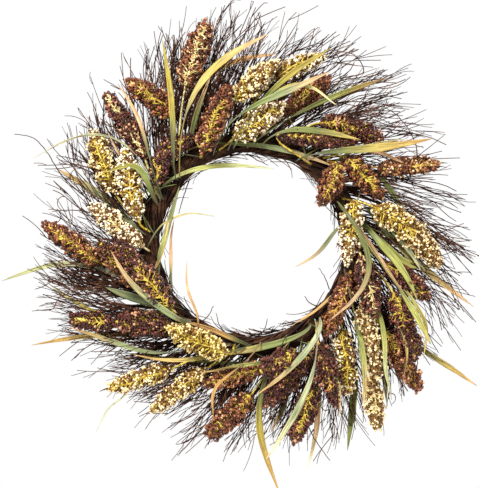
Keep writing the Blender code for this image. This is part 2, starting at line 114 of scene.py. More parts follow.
def add_node(tree: Tree, kind: str, inputs: dict | None = None, **settings) -> Node:
    """Add one shader node with its settings and links.

    Args:
        tree: The node tree that gets the node.
        kind: The node's type, without the leading "ShaderNode".
        inputs: What each input holds: a value, or an output socket to link from.
        settings: Properties of the node. "stops" fills a colour ramp from (place, hex) pairs.

    Returns:
        The new node.
    """
    node = tree.nodes.new("ShaderNode" + kind)
    stops = settings.pop("stops", ())
    for name, value in settings.items():
        setattr(node, name, value)
    for index, (place, colour) in enumerate(stops):
        elements = node.color_ramp.elements
        element = elements[index] if index < 2 else elements.new(place)
        element.position, element.color = place, linear(colour)
    fill(tree, node, inputs or {})
    return node


def noise(tree: Tree, size: float, detail: float = 2.0) -> Socket:
    """Noise on Object coordinates, whose features are about this many millimetres across."""
    where = add_node(tree, "TexCoord").outputs["Object"]
    inputs = {"Vector": where, "Scale": 1 / (size * MM), "Detail": detail}
    return add_node(tree, "TexNoise", inputs).outputs["Fac"]


def ramp(tree: Tree, value: Socket, *stops: Stop) -> Socket:
    """The colour that a value has on a ramp."""
    return add_node(tree, "ValToRGB", {"Fac": value}, stops=stops).outputs["Color"]


def ranged(tree: Tree, value: Socket, low: float, high: float,
           start: float = 0.0, end: float = 1.0) -> Socket:
    """A value that lies from start to end, made to lie from low to high."""
    inputs = {"Value": value, "From Min": start, "From Max": end, "To Min": low, "To Max": high}
    return add_node(tree, "MapRange", inputs).outputs["Result"]


def blend(tree: Tree, share: object, first: object, second: object,
          kind: str = "MIX") -> Socket:
    """Two colours mixed by a share, or the second multiplied into the first."""
    inputs = {"Fac": share, "Color1": first, "Color2": second}
    return add_node(tree, "MixRGB", inputs, blend_type=kind).outputs["Color"]


def relief(tree: Tree, height: Socket, depth: float,
           strength: float) -> Socket:
    """The normal of a surface with fine relief, whose depth is in millimetres."""
    inputs = {"Height": height, "Distance": depth * MM, "Strength": strength}
    return add_node(tree, "Bump", inputs).outputs["Normal"]


def smooth_path(controls: Array, steps: int) -> Array:
    """Points on a Catmull-Rom curve through the controls.

    Args:
        controls: Points to pass through, one a row.
        steps: How many points each run between two controls gets.

    Returns:
        The curve's points, one a row, with the last control at the end.
    """
    controls = np.asarray(controls, float)
    ends = 2 * controls[[0, -1]] - controls[[1, -2]]
    knots = np.vstack([ends[0], controls, ends[1]])
    share = np.linspace(0, 1, steps, endpoint=False)[:, None]
    runs = []
    for before, start, end, after in zip(knots, knots[1:], knots[2:], knots[3:]):
        cubic = -before + 3 * start - 3 * end + after
        square = 2 * before - 5 * start + 4 * end - after
        runs.append(start + share * ((end - before) + share * (square + share * cubic)) / 2)
    return np.vstack([*runs, controls[-1:]])


def unit(rows: Array) -> Array:
    """Rows scaled to length one."""
    return rows / np.maximum(np.linalg.norm(rows, axis=-1, keepdims=True), 1e-9)


def arc_lengths(points: Array) -> Array:
    """Distance along a polyline at each of its points."""
    return np.concatenate([[0.0], np.cumsum(np.linalg.norm(np.diff(points, axis=0), axis=1))])


def resample(points: Array, wanted: Array) -> Array:
    """Points at the wanted distances along a polyline."""
    along = arc_lengths(points)
    return np.column_stack([np.interp(wanted, along, column) for column in points.T])


def link_mesh(name: str, mesh: bpy.types.Mesh, finishes: list[Finish]) -> bpy.types.Object:
    """Put a mesh in the scene with its finishes, smooth shaded.

    Args:
        name: Name of the piece.
        mesh: The finished mesh.
        finishes: One finish for each material slot.

    Returns:
        The new object, at the origin.
    """
    made = bpy.data.objects.new(name, mesh)
    bpy.context.scene.collection.objects.link(made)
    mesh.name = name
    mesh.materials.clear()
    for finish in finishes:
        mesh.materials.append(finish.material())
    mesh.shade_smooth()
    return made


def hang(piece: bpy.types.Object, slot: str, *nodes: str) -> None:
    """Hang a finished piece on the wreath.

    Args:
        piece: The piece.
        slot: What its material slots would be called; not used.
        nodes: The CAD nodes that it stands for.
    """
    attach(piece, "wreath")
    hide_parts(*nodes)
    LOG.info("%s: %d faces", piece.name, len(piece.data.polygons))


# ------------------------------------------------------------------ finishes


@dataclass(frozen=True)
class Finish:
    """One material, named for what the real one is and how it was made."""

    name: str

    def material(self) -> bpy.types.Material:
        """The Blender material, made on first use."""
        found = bpy.data.materials.get(self.name)
        if found is None:
            found = bpy.data.materials.new(self.name)
            found.use_nodes = True
            self.dress(found.node_tree, found.node_tree.nodes["Principled BSDF"])
        return found

    def dress(self, tree: Tree, shader: Node) -> None:
        """Add this finish's nodes to a new material.

        Args:
            tree: The material's node tree.
            shader: Its Principled BSDF.
        """
        raise NotImplementedError


@dataclass(frozen=True)
class DrawnSteel(Finish):
    """Drawn steel wire: grey metal with a dull skin and freckles of rust."""

    clean: str = "#8a8681"
    dull: str = "#4a443f"
    rust: str = "#5f3722"
    freckle: float = 1.4

    def dress(self, tree: Tree, shader: Node) -> None:
        """Mix clean wire, dull skin and rust by noise on Object coordinates."""
        skin, spots = noise(tree, 5 * self.freckle, 4.0), noise(tree, self.freckle)
        wire = ramp(tree, skin, (0.38, self.dull), (0.62, self.clean))
        rusty = ranged(tree, spots, 0.0, 1.0, start=0.6, end=0.7)
        fill(tree, shader, {
            "Base Color": blend(tree, rusty, wire, linear(self.rust)),
            "Roughness": ranged(tree, skin, 0.55, 0.3),
            "Normal": relief(tree, spots, 0.05, 0.5),
            "Metallic": 1.0,
        })


@dataclass(frozen=True)
class TwigBark(Finish):
    """Dry twig bark: matt, in broken tones, with small ridges that catch the light."""

    dark: str
    middle: str
    light: str
    patch: float = 16.0
    ridge: float = 0.7

    def dress(self, tree: Tree, shader: Node) -> None:
        """Vary the tone over patches of a twig's length, and roughen it with fine ridges."""
        patch, ridge = noise(tree, self.patch, 3.0), noise(tree, self.ridge, 3.0)
        tone = ramp(tree, patch, (0.34, self.dark), (0.66, self.light), (0.5, self.middle))
        worn = ranged(tree, ridge, 0.72, 1.2, start=0.3, end=0.7)
        fill(tree, shader, {
            "Base Color": blend(tree, 1.0, tone, worn, "MULTIPLY"),
            "Roughness": ranged(tree, ridge, 0.65, 0.95),
            "Normal": relief(tree, ridge, 0.25, 0.8),
            "Specular IOR Level": 0.2,
        })


@dataclass(frozen=True)
class DyedGrain(Finish):
    """Seed grains of dyed foam beads: each its own tone, a little mottled, with a soft shine."""

    deep: str
    body: str
    warm: str
    pale: str
    body_at: float = 0.45
    warm_at: float = 0.8
    mottle: float = 1.1
    shine: float = 0.32

    def dress(self, tree: Tree, shader: Node) -> None:
        """Take each grain's tone from its attribute, and mottle it by fine noise."""
        tone = add_node(tree, "Attribute", attribute_name="tone").outputs["Fac"]
        mottle = noise(tree, self.mottle)
        between = ((self.body_at, self.body), (self.warm_at, self.warm))
        dye = ramp(tree, tone, (0.0, self.deep), (1.0, self.pale), *between)
        worn = ranged(tree, mottle, 0.7, 1.22, start=0.3, end=0.7)
        fill(tree, shader, {
            "Base Color": blend(tree, 1.0, dye, worn, "MULTIPLY"),
            "Roughness": ranged(tree, mottle, self.shine, self.shine + 0.25),
            "Normal": relief(tree, mottle, 0.15, 0.6),
            "IOR": 1.46,
        })


@dataclass(frozen=True)
class MouldedStalk(Finish):
    """Injection-moulded polythene stalk: waxy, dyed green-yellow, paler where the dye is thin."""

    deep: str
    body: str
    pale: str
    patch: float = 5.0

    def dress(self, tree: Tree, shader: Node) -> None:
        """Vary the dye over the stalks by noise on Object coordinates."""
        patch = noise(tree, self.patch, 4.0)
        fill(tree, shader, {
            "Base Color": ramp(tree, patch, (0.34, self.deep), (0.68, self.pale), (0.5, self.body)),
            "Roughness": 0.5,
            "Normal": relief(tree, patch, 0.3, 0.5),
            "IOR": 1.5,
        })


@dataclass(frozen=True)
class DyedBlade(Finish):
    """Printed cloth grass blade: dye runs along it over fine lengthwise ribs."""

    rib: float = 0.9
    stretch: float = 26.0
    fleck: float = 9.0
    stain: str = "#7a5526"

    def dress(self, tree: Tree, shader: Node) -> None:
        """Rib and fleck the blade's own dye, which its tint attribute holds."""
        tint = add_node(tree, "Attribute", attribute_name="tint").outputs["Color"]
        along = add_node(tree, "Attribute", attribute_name="along").outputs["Fac"]
        across = add_node(tree, "Attribute", attribute_name="across").outputs["Fac"]
        place = add_node(tree, "CombineXYZ", {"X": along, "Y": across}).outputs["Vector"]
        scale = (1 / self.stretch, 1 / self.rib, 1.0)
        ribs = add_node(tree, "Mapping", {"Vector": place, "Scale": scale}).outputs["Vector"]
        grain = {"Vector": ribs, "Scale": 1.0, "Detail": 3.0}
        streak = add_node(tree, "TexNoise", grain).outputs["Fac"]
        ribbed = ranged(tree, streak, 0.42, 1.35, start=0.36, end=0.64)
        stained = ranged(tree, noise(tree, self.fleck, 5.0), 0.0, 0.55, start=0.6, end=0.74)
        dyed = blend(tree, 1.0, tint, ribbed, "MULTIPLY")
        fill(tree, shader, {
            "Base Color": blend(tree, stained, dyed, linear(self.stain)),
            "Roughness": ranged(tree, streak, 0.42, 0.7),
            "Normal": relief(tree, streak, 0.25, 0.7),
            "Sheen Weight": 0.15,
        })


@dataclass(frozen=True)
class PaleFloor(Finish):
    """Matt white paint, faintly uneven."""

    def dress(self, tree: Tree, shader: Node) -> None:
        """Vary the white a little over hand-wide patches."""
        paint = ramp(tree, noise(tree, 120.0), (0.3, "#ebeae8"), (0.7, "#f4f3f1"))
        fill(tree, shader, {"Base Color": paint, "Roughness": 0.9})


STEEL = DrawnSteel("drawn_steel_wire")
ROPE_BARKS = [
    TwigBark("rope_bark_dark", "#180a04", "#321b0c", "#573924"),
    TwigBark("rope_bark_brown", "#2f1709", "#573418", "#86603c"),
    TwigBark("rope_bark_red", "#2b1007", "#4d2413", "#794833"),
]
TWIG_BARKS = [
    TwigBark("twig_bark_dark", "#220e05", "#3c2011", "#634230"),
    TwigBark("twig_bark_brown", "#43220b", "#774a2b", "#a87c5a"),
    TwigBark("twig_bark_grey", "#50382a", "#856650", "#b59a84"),
]
# a dark tube inside each head, in a bark finish: painted shade for the shadowed inside of the head
SHADE_CORE = TwigBark("head_heart", "#260c02", "#3a1804", "#55300f", patch=5.0)
GRASS = DyedBlade("dyed_cloth_blade")


class Seed(enum.Enum):
    """Dye of a head's grains."""

    MAROON = DyedGrain("grain_maroon", "#2c0a03", "#4f1d12", "#7d422f", "#c0936c")
    RUSSET = DyedGrain("grain_russet", "#3c1404", "#6d371c", "#9a5c38", "#cf9d72")
    PLUM = DyedGrain("grain_plum", "#2c0b06", "#4b1b16", "#6d342c", "#b08764")
    BROWN = DyedGrain("grain_brown", "#381504", "#5e3015", "#86502a", "#bd8c5e")
    CREAM = DyedGrain("grain_cream", "#4a2606", "#8a5d20", "#dcbd7b", "#f7e6bc", 0.3, 0.6)
    WHITE = DyedGrain("grain_white", "#4a2608", "#8a5d2a", "#e6d0a0", "#fbf0d6", 0.3, 0.6)
    GOLD = DyedGrain("grain_gold", "#4e2b08", "#946a22", "#d2b562", "#f0dca2", 0.3, 0.6)
    MIXED = DyedGrain("grain_mixed", "#3f1706", "#78401f", "#b27a48", "#f0dcb2", 0.45, 0.72)


class Stalk(enum.Enum):
    """Dye of a head's stalk and branchlets."""

    YELLOW = MouldedStalk("stalk_yellow", "#7c6012", "#b89b2e", "#dec858")
    CREAM = MouldedStalk("stalk_cream", "#a3823f", "#d8c07c", "#f2e6b8")
    ORANGE = MouldedStalk("stalk_orange", "#835816", "#bd9038", "#dfbd62")


class Dye(enum.Enum):
    """Dyes that a blade's colour runs between."""

    OLIVE = "#5f6329"
    DARK = "#545a34"
    SAGE = "#7e8656"
    GREEN = "#727a32"
    LIGHT = "#9a9a4a"
    YELLOW = "#ad9a48"
    BRIGHT = "#a3902e"
    ORANGE = "#b98c4a"
    PEACH = "#c49a6c"
    CREAM = "#d9cc9c"
    BROWN = "#86603a"
    PALE = "#b0b084"


OLIVE, DARK, SAGE, GREEN, LIGHT, YELLOW, BRIGHT, ORANGE, PEACH, CREAM, BROWN, PALE = Dye


# ------------------------------------------------------------------ reading the CAD model


@dataclass
class Model:
    """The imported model, and where its hoop and rope lie."""

    nodes: dict[str, bpy.types.Object]
    rope_radius: float = 132.0
    rope_depth: float = -13.0
    rope_half_width: float = 15.0
    rope_half_depth: float = 11.0
    hub_radius: float = 2.6
    hub_gap: float = 0.9

    def __post_init__(self) -> None:
        """Find the hoop's centre."""
        low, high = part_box("frame_ring")
        self.centre = np.array((low + high) / 2) / MM

    def polar(self, angle: Array, radius: Array, depth: Array) -> Array:
        """Points about the hoop's centre.

        Args:
            angle: Degrees, anticlockwise from +X as seen from the front.
            radius: Distance from the centre.
            depth: Y beyond the hoop's; the front is negative.

        Returns:
            One point a row, in the row frame.
        """
        turn = np.radians(angle)
        x, z = radius * np.cos(turn), radius * np.sin(turn)
        return self.centre + np.column_stack([x, np.broadcast_to(depth, x.shape), z])

    def hub_distance(self, points: Array, seat: float) -> Array:
        """Distance from a tuft's hub circle, whose seat is an angle round the rope's section."""
        turn, halves = math.radians(seat), np.array([self.rope_half_width, self.rope_half_depth])
        section = halves * (math.cos(turn), math.sin(turn))
        normal = (math.cos(turn), math.sin(turn)) / halves
        out, front = section + (self.hub_radius + self.hub_gap) * normal / np.linalg.norm(normal)
        local = points - self.centre
        ring = np.hypot(local[:, 0], local[:, 2]) - (self.rope_radius + out)
        return np.hypot(ring, local[:, 1] - (self.rope_depth - front))

    def merged(self, node: str) -> MeshEdit:
        """A copy of a node's mesh with its doubles merged, in metres."""
        copy = bmesh.new()
        copy.from_mesh(self.nodes[node].data)
        bmesh.ops.remove_doubles(copy, verts=copy.verts, dist=MERGE)
        copy.normal_update()
        copy.verts.index_update()
        return copy


def rings_from(start: Corners, size: int, allowed: Corners) -> list[Array]:
    """Walk a tube's mesh ring by ring.

    Args:
        start: The vertices of the first ring.
        size: How many vertices a whole ring has.
        allowed: The vertices that the walk may reach.

    Returns:
        The corners of each whole ring, in millimetres.
    """
    seen, level, found = set(start), set(start), []
    while level:
        if len(level) == size:
            ring = sorted(level, key=lambda vertex: vertex.index)
            found.append(np.array([vertex.co for vertex in ring]) / MM)
        reached = {edge.other_vert(vertex) for vertex in level for edge in vertex.link_edges}
        level = reached & allowed - seen
        seen |= level
    return found


def steps_from(start: bmesh.types.BMVert, allowed: Corners) -> dict[bmesh.types.BMVert, int]:
    """How many edges away each vertex is that a walk within the allowed ones reaches."""
    steps, level = {start: 0}, [start]
    while level:
        following = []
        for vertex in level:
            for edge in vertex.link_edges:
                other = edge.other_vert(vertex)
                if other in allowed and other not in steps:
                    steps[other] = steps[vertex] + 1
                    following.append(other)
        level = following
    return steps


def cap_of(mesh: MeshEdit, sides: int) -> Corners:
    """The narrowest flat round cap of a tube: where a head's stem begins."""
    caps, seen = [], set()
    for first in mesh.faces:
        if first in seen:
            continue
        patch, queue = {first}, [first]
        while queue:
            face = queue.pop()
            for edge in face.edges:
                for other in edge.link_faces:
                    if other not in patch and other.normal.dot(first.normal) > COPLANAR:
                        patch.add(other)
                        queue.append(other)
        seen |= patch
        corners = {vertex for face in patch for vertex in face.verts}
        if len(corners) != sides:
            continue
        places = np.array([vertex.co for vertex in corners])
        spokes = np.linalg.norm(places - places.mean(axis=0), axis=1)
        if spokes.std() < 0.05 * spokes.mean():
            caps.append((spokes.mean(), corners))
    return min(caps, key=lambda pair: pair[0])[1]


# ------------------------------------------------------------------ tubes


class Sheaf:
    """Many tapered tubes, gathered into one mesh."""

    def __init__(self, name: str, extra_sides: int = 0) -> None:
        """Start an empty sheaf.

        Args:
            name: Name of the piece that it becomes.
            extra_sides: 0 gives tubes of four sides, and 1 of six.
        """
        self.name = name
        self.curve = bpy.data.curves.new(name, "CURVE")
        self.curve.dimensions = "3D"
        self.curve.bevel_depth = MM
        self.curve.bevel_resolution = extra_sides
        self.curve.use_fill_caps = True

    def add(self, points: Array, radii: Array | float, finish: int = 0) -> None:
        """Add one tube.

        Args:
            points: Its centre line, one point a row.
            radii: Its radius at each point, or everywhere.
            finish: Index of its material slot.
        """
        count = len(points)
        spline = self.curve.splines.new("POLY")
        spline.points.add(count - 1)
        spline.points.foreach_set("co", np.column_stack([points * MM, np.ones(count)]).ravel())
        spline.points.foreach_set("radius", np.broadcast_to(radii, count).astype(float))
        spline.material_index = finish
        spline.use_smooth = True

    def mesh(self) -> bpy.types.Mesh:
        """The closed tubes as one mesh, in metres."""
        guide = bpy.data.objects.new(self.name + "_guide", self.curve)
        bpy.context.scene.collection.objects.link(guide)
        bpy.context.view_layer.update()
        graph = bpy.context.evaluated_depsgraph_get()
        made = bpy.data.meshes.new_from_object(guide.evaluated_get(graph))
        bpy.data.objects.remove(guide, do_unlink=True)
        bpy.data.curves.remove(self.curve)
        closed = bmesh.new()
        closed.from_mesh(made)
        bmesh.ops.remove_doubles(closed, verts=closed.verts, dist=0.01 * MM)
        closed.to_mesh(made)
        closed.free()
        return made


# ------------------------------------------------------------------ hoop and hanger


@dataclass
class WireWork:
    """The hoop and the hanger bail, which keep their CAD shapes."""

    model: Model
    pieces: tuple[str, ...] = ("frame_ring", "hanger_bail")

    def dress(self) -> None:
        """Give both their steel."""
        for name in self.pieces:
            mesh = self.model.nodes[name].data
            mesh.materials.clear()
            mesh.materials.append(STEEL.material())
            LOG.info("dressed %s", name)


# ------------------------------------------------------------------ rope


@dataclass
class TwigRope:
    """The rope: dark twigs twisted together, with loose ends on its inner edge."""

    model: Model
    strands: int = 170
    strand_radius: tuple[float, float] = (0.6, 2.0)
    turns: tuple[float, float] = (1.0, 7.5)
    step: float = 3.0
    outward: float = 2.6
    loose_ends: int = 100
    relief_half_span: float = 28.0
    relief_depth: float = -6.5
    seed: int = 11

    def strand(self, rng: Draws) -> tuple[Array, Array]:
        """One twig wound along the rope: its points and radii."""
        start, span = rng.uniform(0, 360), rng.uniform(90, 300)
        angles = np.arange(start, start + span, self.step)
        share = np.linspace(0, 1, len(angles))
        level = math.sqrt(rng.uniform(0.15, 1.1))
        level = level + 0.15 * np.sin(share * rng.uniform(12, 40) + rng.uniform(0, 6))
        turn = rng.uniform(0, FULL_TURN) + np.radians(angles) * rng.uniform(*self.turns)
        turn += 0.35 * np.sin(share * rng.uniform(4, 18))
        radius = rng.uniform(*self.strand_radius)
        level = np.minimum(level, rng.uniform(0.8, 1.1))
        out = (self.model.rope_half_width - radius) * level * np.cos(turn) + self.outward
        depth = self.model.rope_depth - (self.model.rope_half_depth - radius) * level * np.sin(turn)
        points = self.model.polar(angles, self.model.rope_radius + out, depth)
        local = points - self.model.centre
        back = (np.abs(local[:, 0]) < self.relief_half_span) & (local[:, 2] > 0)
        local[back, 1] = np.minimum(local[back, 1], self.relief_depth)
        taper = np.interp(share, (0, 0.08, 0.8, 1), (0.6, 1, 0.8, 0.25))
        return local + self.model.centre, radius * taper

    def loose_end(self, rng: Draws) -> tuple[Array, Array]:
        """A thin twig end that leaves the rope's inner edge and bends round the open middle."""
        start = rng.uniform(0, 360)
        run = rng.uniform(5, 24) * rng.choice([1.0, 1.0, -1.0])
        dip = rng.uniform(3, 10) * rng.choice([1.0, 1.0, 1.0, 1.9])
        share = np.linspace(0, 1, 9)
        angles = start - run * share
        inner = self.model.rope_radius - self.model.rope_half_width + 3
        wave = 0.8 * np.sin(share * rng.uniform(5, 12) + rng.uniform(0, 6))
        radii = inner - dip * share**1.5 + wave * share
        depth = self.model.rope_depth + rng.uniform(-5, 6)
        return self.model.polar(angles, radii, depth), rng.uniform(0.5, 0.95) * (1 - 0.5 * share)

    def build(self) -> None:
        """Make the rope and hang it on the wreath."""
        rng = np.random.default_rng(self.seed)
        sheaf = Sheaf("twisted_twig_rope", 1)
        for _ in range(self.strands):
            sheaf.add(*self.strand(rng), finish=int(rng.integers(3)))
        for _ in range(self.loose_ends):
            sheaf.add(*self.loose_end(rng), finish=int(rng.integers(3)))
        hang(link_mesh(sheaf.name, sheaf.mesh(), ROPE_BARKS), "twig_rope", "vine_rope")


# ------------------------------------------------------------------ twigs


@dataclass
class TwigFans:
    """The fans of fine twigs behind the heads: brooms that sweep clockwise and fork as they go."""

    model: Model
    bundles: int = 7
    brooms: int = 3
    twigs: int = 38
    strays: int = 16
    root: tuple[float, float] = (-10.0, 16.0)
    stem_points: int = 14
    swirl: tuple[float, float] = (0.4, 0.85)
    reach: float = 281.0
    tips: tuple[float, float] = (-22.0, 17.0)
    overlap: float = 0.66
    shorter: float = 100.0
    radius: tuple[float, float] = (0.65, 1.1)
    branchlets: tuple[int, int] = (2, 6)
    branchlet_length: tuple[float, float] = (28.0, 74.0)
    fork: tuple[float, float] = (8.0, 27.0)
    forked: float = 0.35
    depth_at_root: tuple[float, float] = (-20.0, -5.0)
    depth_at_tip: tuple[float, float] = (-30.0, 2.0)
    backmost: float = -3.0
    hindmost: float = 9.0
    topmost: float = 167.0
    # twigs to the upper left of this line get lighter barks more often, as painted light; the rest
    # get darker barks, as painted shade
    lit_side_line: float = -130.0
    lit_side_mix: tuple[float, float, float] = (0.32, 0.4, 0.28)
    shaded_side_mix: tuple[float, float, float] = (0.58, 0.28, 0.14)
    uneven: tuple[tuple[int, float, float], ...] = (
        (1, 0.8, -12.0), (2, 0.42, -22.0), (3, 0.75, -14.0), (4, 0.6, -16.0),
        (5, 1.25, 6.0), (6, 1.25, 10.0), (7, 1.2, 2.0),
    )
    seed: int = 29

    def edge(self, angle: float) -> float:
        """How far the fans reach at an angle; the wreath's outline is a little uneven."""
        wide, fine = math.cos(math.radians(angle - 80)), math.sin(math.radians(7 * angle))
        return self.reach + 18 * wide + 6 * fine

    def fullness(self, broom: int) -> tuple[float, float]:
        """How many of the usual twigs a broom has, and how much further than usual it reaches."""
        for number, share, extra in self.uneven:
            if number == broom:
                return share, extra
        return 1.0, 0.0

    def stem(self, angle: float, spread: float, swirl: float, tip: float, rng: Draws) -> Array:
        """One main twig.

        Args:
            angle: Where its broom springs from the rope.
            spread: How far it is from its broom's middle, in degrees.
            swirl: How much its broom sweeps round.
            tip: How far from the middle of the wreath it ends.
            rng: The fan's random draws.

        Returns:
            Its points, from root to tip.
        """
        root = self.model.rope_radius + rng.uniform(*self.root)
        share = np.linspace(0, 1, self.stem_points)
        radii = root + (tip - root) * share
        wave = rng.uniform(0.5, 1.5) * np.sin(share * rng.uniform(4, 15) + rng.uniform(0, 6))
        bend = rng.normal(0, 3.0) * share**2 + wave * share
        swept = math.degrees(swirl) * np.log(radii / root)
        angles = angle + spread * (1 - 0.4 * share) - swept + bend
        ends = rng.uniform(*self.depth_at_root), rng.uniform(*self.depth_at_tip)
        depth = np.interp(share, (0, 1), ends) + 1.5 * np.sin(share * rng.uniform(3, 9))
        depth = np.minimum(depth, self.backmost + 6 * share)
        points = self.model.polar(angles, radii, depth)
        points[:, 2] = np.minimum(points[:, 2], self.topmost)
        return points

    def branchlet(self, stem: Array, rng: Draws, at: float, length: float) -> Array:
        """A side twig that leaves a stem and bends back along it.

        Args:
            stem: The stem's points.
            rng: The fan's random draws.
            at: Share of the stem where it leaves.
            length: How long it is.

        Returns:
            Its points.
        """
        total = arc_lengths(stem)[-1]
        beyond = at * total + 2.0 if at < 0.98 else total
        base, ahead = resample(stem, np.array([at * total, beyond]))
        if np.allclose(base, ahead):
            base = stem[-2]
        run = unit(ahead - base)
        side = np.cross(run, (0.0, 1.0, 0.0))
        lean = math.radians(rng.uniform(*self.fork)) * rng.choice([-1.0, 1.0])
        tilt = rng.normal(0, 0.18)
        share = np.linspace(0, 1, 6)[:, None]
        heading = run * math.cos(lean) + side * math.sin(lean) + np.array([0.0, tilt, 0.0])
        sway = side * (rng.normal(0, 0.14) - 0.35 * math.sin(lean)) * share**2
        points = base + length * (heading * share + sway)
        points[:, 1:] = np.minimum(points[:, 1:], (self.hindmost, self.topmost))
        return points

    def grow(self, sheaf: Sheaf, stem: Array, rng: Draws) -> None:
        """Add a main twig and what branches off it to a fan.

        Args:
            sheaf: The fan.
            stem: The twig's points.
            rng: The fan's random draws.
        """
        first = stem[0]
        # bark tone by side: painted light on the upper left, painted shade elsewhere
        on_lit_side = first[2] - first[0] > self.lit_side_line
        tone = int(rng.choice(3, p=self.lit_side_mix if on_lit_side else self.shaded_side_mix))
        thick = rng.uniform(*self.radius)
        sheaf.add(stem, thick * np.linspace(1, 0.5, len(stem)), tone)
        for _ in range(int(rng.integers(*self.branchlets))):
            at = rng.uniform(0.15, 0.97)
            length = rng.uniform(*self.branchlet_length) * (1.15 - 0.5 * at)
            twig = self.branchlet(stem, rng, at, length)
            sheaf.add(twig, thick * np.linspace(0.62, 0.42, len(twig)), tone)
            if rng.uniform() < self.forked:
                place, part = rng.uniform(0.3, 0.8), rng.uniform(0.3, 0.6)
                fork = self.branchlet(twig, rng, place, length * part)
                sheaf.add(fork, thick * np.linspace(0.48, 0.38, len(fork)), tone)

    def build(self) -> None:
        """Make every fan and hang it on the wreath."""
        sector = 360 / self.bundles
        width = sector / self.brooms
        for number in range(self.bundles):
            rng = np.random.default_rng(self.seed + number)
            sheaf = Sheaf(f"twig_fan_{number + 1}")
            for broom in range(self.brooms):
                angle = number * sector + (broom + 0.5) * width + rng.normal(0, 1.5)
                swirl, tip = rng.uniform(*self.swirl), self.edge(angle) + rng.uniform(*self.tips)
                share, extra = self.fullness(number * self.brooms + broom)
                tip += extra
                for _ in range(round(self.twigs * share)):
                    spread = rng.uniform(-self.overlap, self.overlap) * width
                    end = tip - self.shorter * rng.uniform(0, 1) ** 1.4
                    bent = swirl + rng.normal(0, 0.14)
                    self.grow(sheaf, self.stem(angle, spread, bent, end, rng), rng)
            for _ in range(self.strays):
                angle = (number + rng.uniform(0, 1)) * sector
                end, bent = self.edge(angle) - rng.uniform(0, 50), rng.uniform(0.2, 1.1)
                self.grow(sheaf, self.stem(angle, 0.0, bent, end, rng), rng)
            fan = link_mesh(sheaf.name, sheaf.mesh(), TWIG_BARKS)
            hang(fan, "fine_twig", f"twig_bundle_{number + 1}")


@dataclass
class Flyaways:
    """Long thin twigs that stray into the wreath's middle and past its edge, and loose curls."""

    model: Model
    strays: tuple[tuple[tuple[float, float], ...], ...] = (
        ((112, 180), (104, 220), (99, 270), (97, 314)),
        ((165, 218), (160, 265), (156, 292), (154, 318), (155, 344)),
        ((197, 225), (195, 258), (198, 276), (197, 296)),
        ((287, 230), (288, 267), (290, 302)),
        ((320, 240), (327, 262), (326, 284)),
        ((24, 236), (31, 252), (40, 256), (47, 250)),
        ((62, 246), (57, 268), (61, 282), (66, 276), (63, 262)),
        ((133, 118), (141, 112), (149, 107), (157, 104)),
        ((237, 122), (239, 108), (238, 95)),
        ((330, 119), (336, 106), (341, 94)),
        ((317, 119), (315, 108), (316, 97)),
        ((40, 119), (35, 108), (33, 99)),
        ((93, 119), (86, 111), (78, 106)),
    )
    curls: int = 16
    curl_points: int = 22
    curl_radius: tuple[float, float] = (5.0, 13.0)
    radius: float = 0.62
    front: float = -22.0
    seed: int = 83

    def build(self) -> None:
        """Make them all and hang them on the wreath."""
        rng = np.random.default_rng(self.seed)
        sheaf = Sheaf("flyaway_twigs")
        for controls in self.strays:
            path = smooth_path(np.array(controls, float), 8)
            depth = self.front + rng.uniform(-6, 8)
            points = self.model.polar(path[:, 0], path[:, 1], depth)
            points = points + rng.normal(0, 0.25, points.shape)
            taper = np.linspace(1.3, 0.7, len(points))
            sheaf.add(points, self.radius * taper, int(rng.integers(3)))
        for _ in range(self.curls):
            angle, distance = rng.uniform(0, 360), rng.uniform(205, 272)
            share, size = np.linspace(0, 1, self.curl_points), rng.uniform(*self.curl_radius)
            start, sweep = rng.uniform(0, FULL_TURN), rng.uniform(2.2, 5.0) * rng.choice([-1, 1])
            depth = self.front + rng.uniform(-8, 8)
            middle = self.model.polar(np.array([angle]), np.array([distance]), depth)
            turn, spiral = start + sweep * share, size * (0.5 + share)
            offset = np.column_stack([np.cos(turn), 0.3 * share, np.sin(turn)])
            taper = np.linspace(1.0, 0.7, self.curl_points)
            sheaf.add(middle + spiral[:, None] * offset, self.radius * taper, int(rng.integers(3)))
        piece = link_mesh(sheaf.name, sheaf.mesh(), TWIG_BARKS)
        hang(piece, "fine_twig", *(f"twig_bundle_{number + 1}" for number in range(7)))


# ------------------------------------------------------------------ seed heads


@dataclass(frozen=True)
class HeadLook:
    """How one head is dyed, and where its stalk shows through.

    Each bare span is its start and end as shares of the head, and how bare it is there. The bare
    side faces forward.
    """

    node: str
    seed: Seed
    stalk: Stalk
    bare: tuple[tuple[float, float, float], ...]

    @property
    def is_millet(self) -> bool:
        """Whether this is one of the pale heads, whose grains are smaller and sparser."""
        return self.node.startswith("millet")

    def bareness(self, share: float, turn: float) -> float:
        """How bare the head is at a share of its length and a turn round it."""
        found = 0.04
        for start, end, amount in self.bare:
            edge = min(share - start, end - share) / 0.08
            found = max(found, amount * min(max(edge + 1, 0), 1))
        edge = 0.5 if self.is_millet else 0.74
        return found * min(max((math.cos(turn) - edge) / 0.2, 0.0), 1.0)


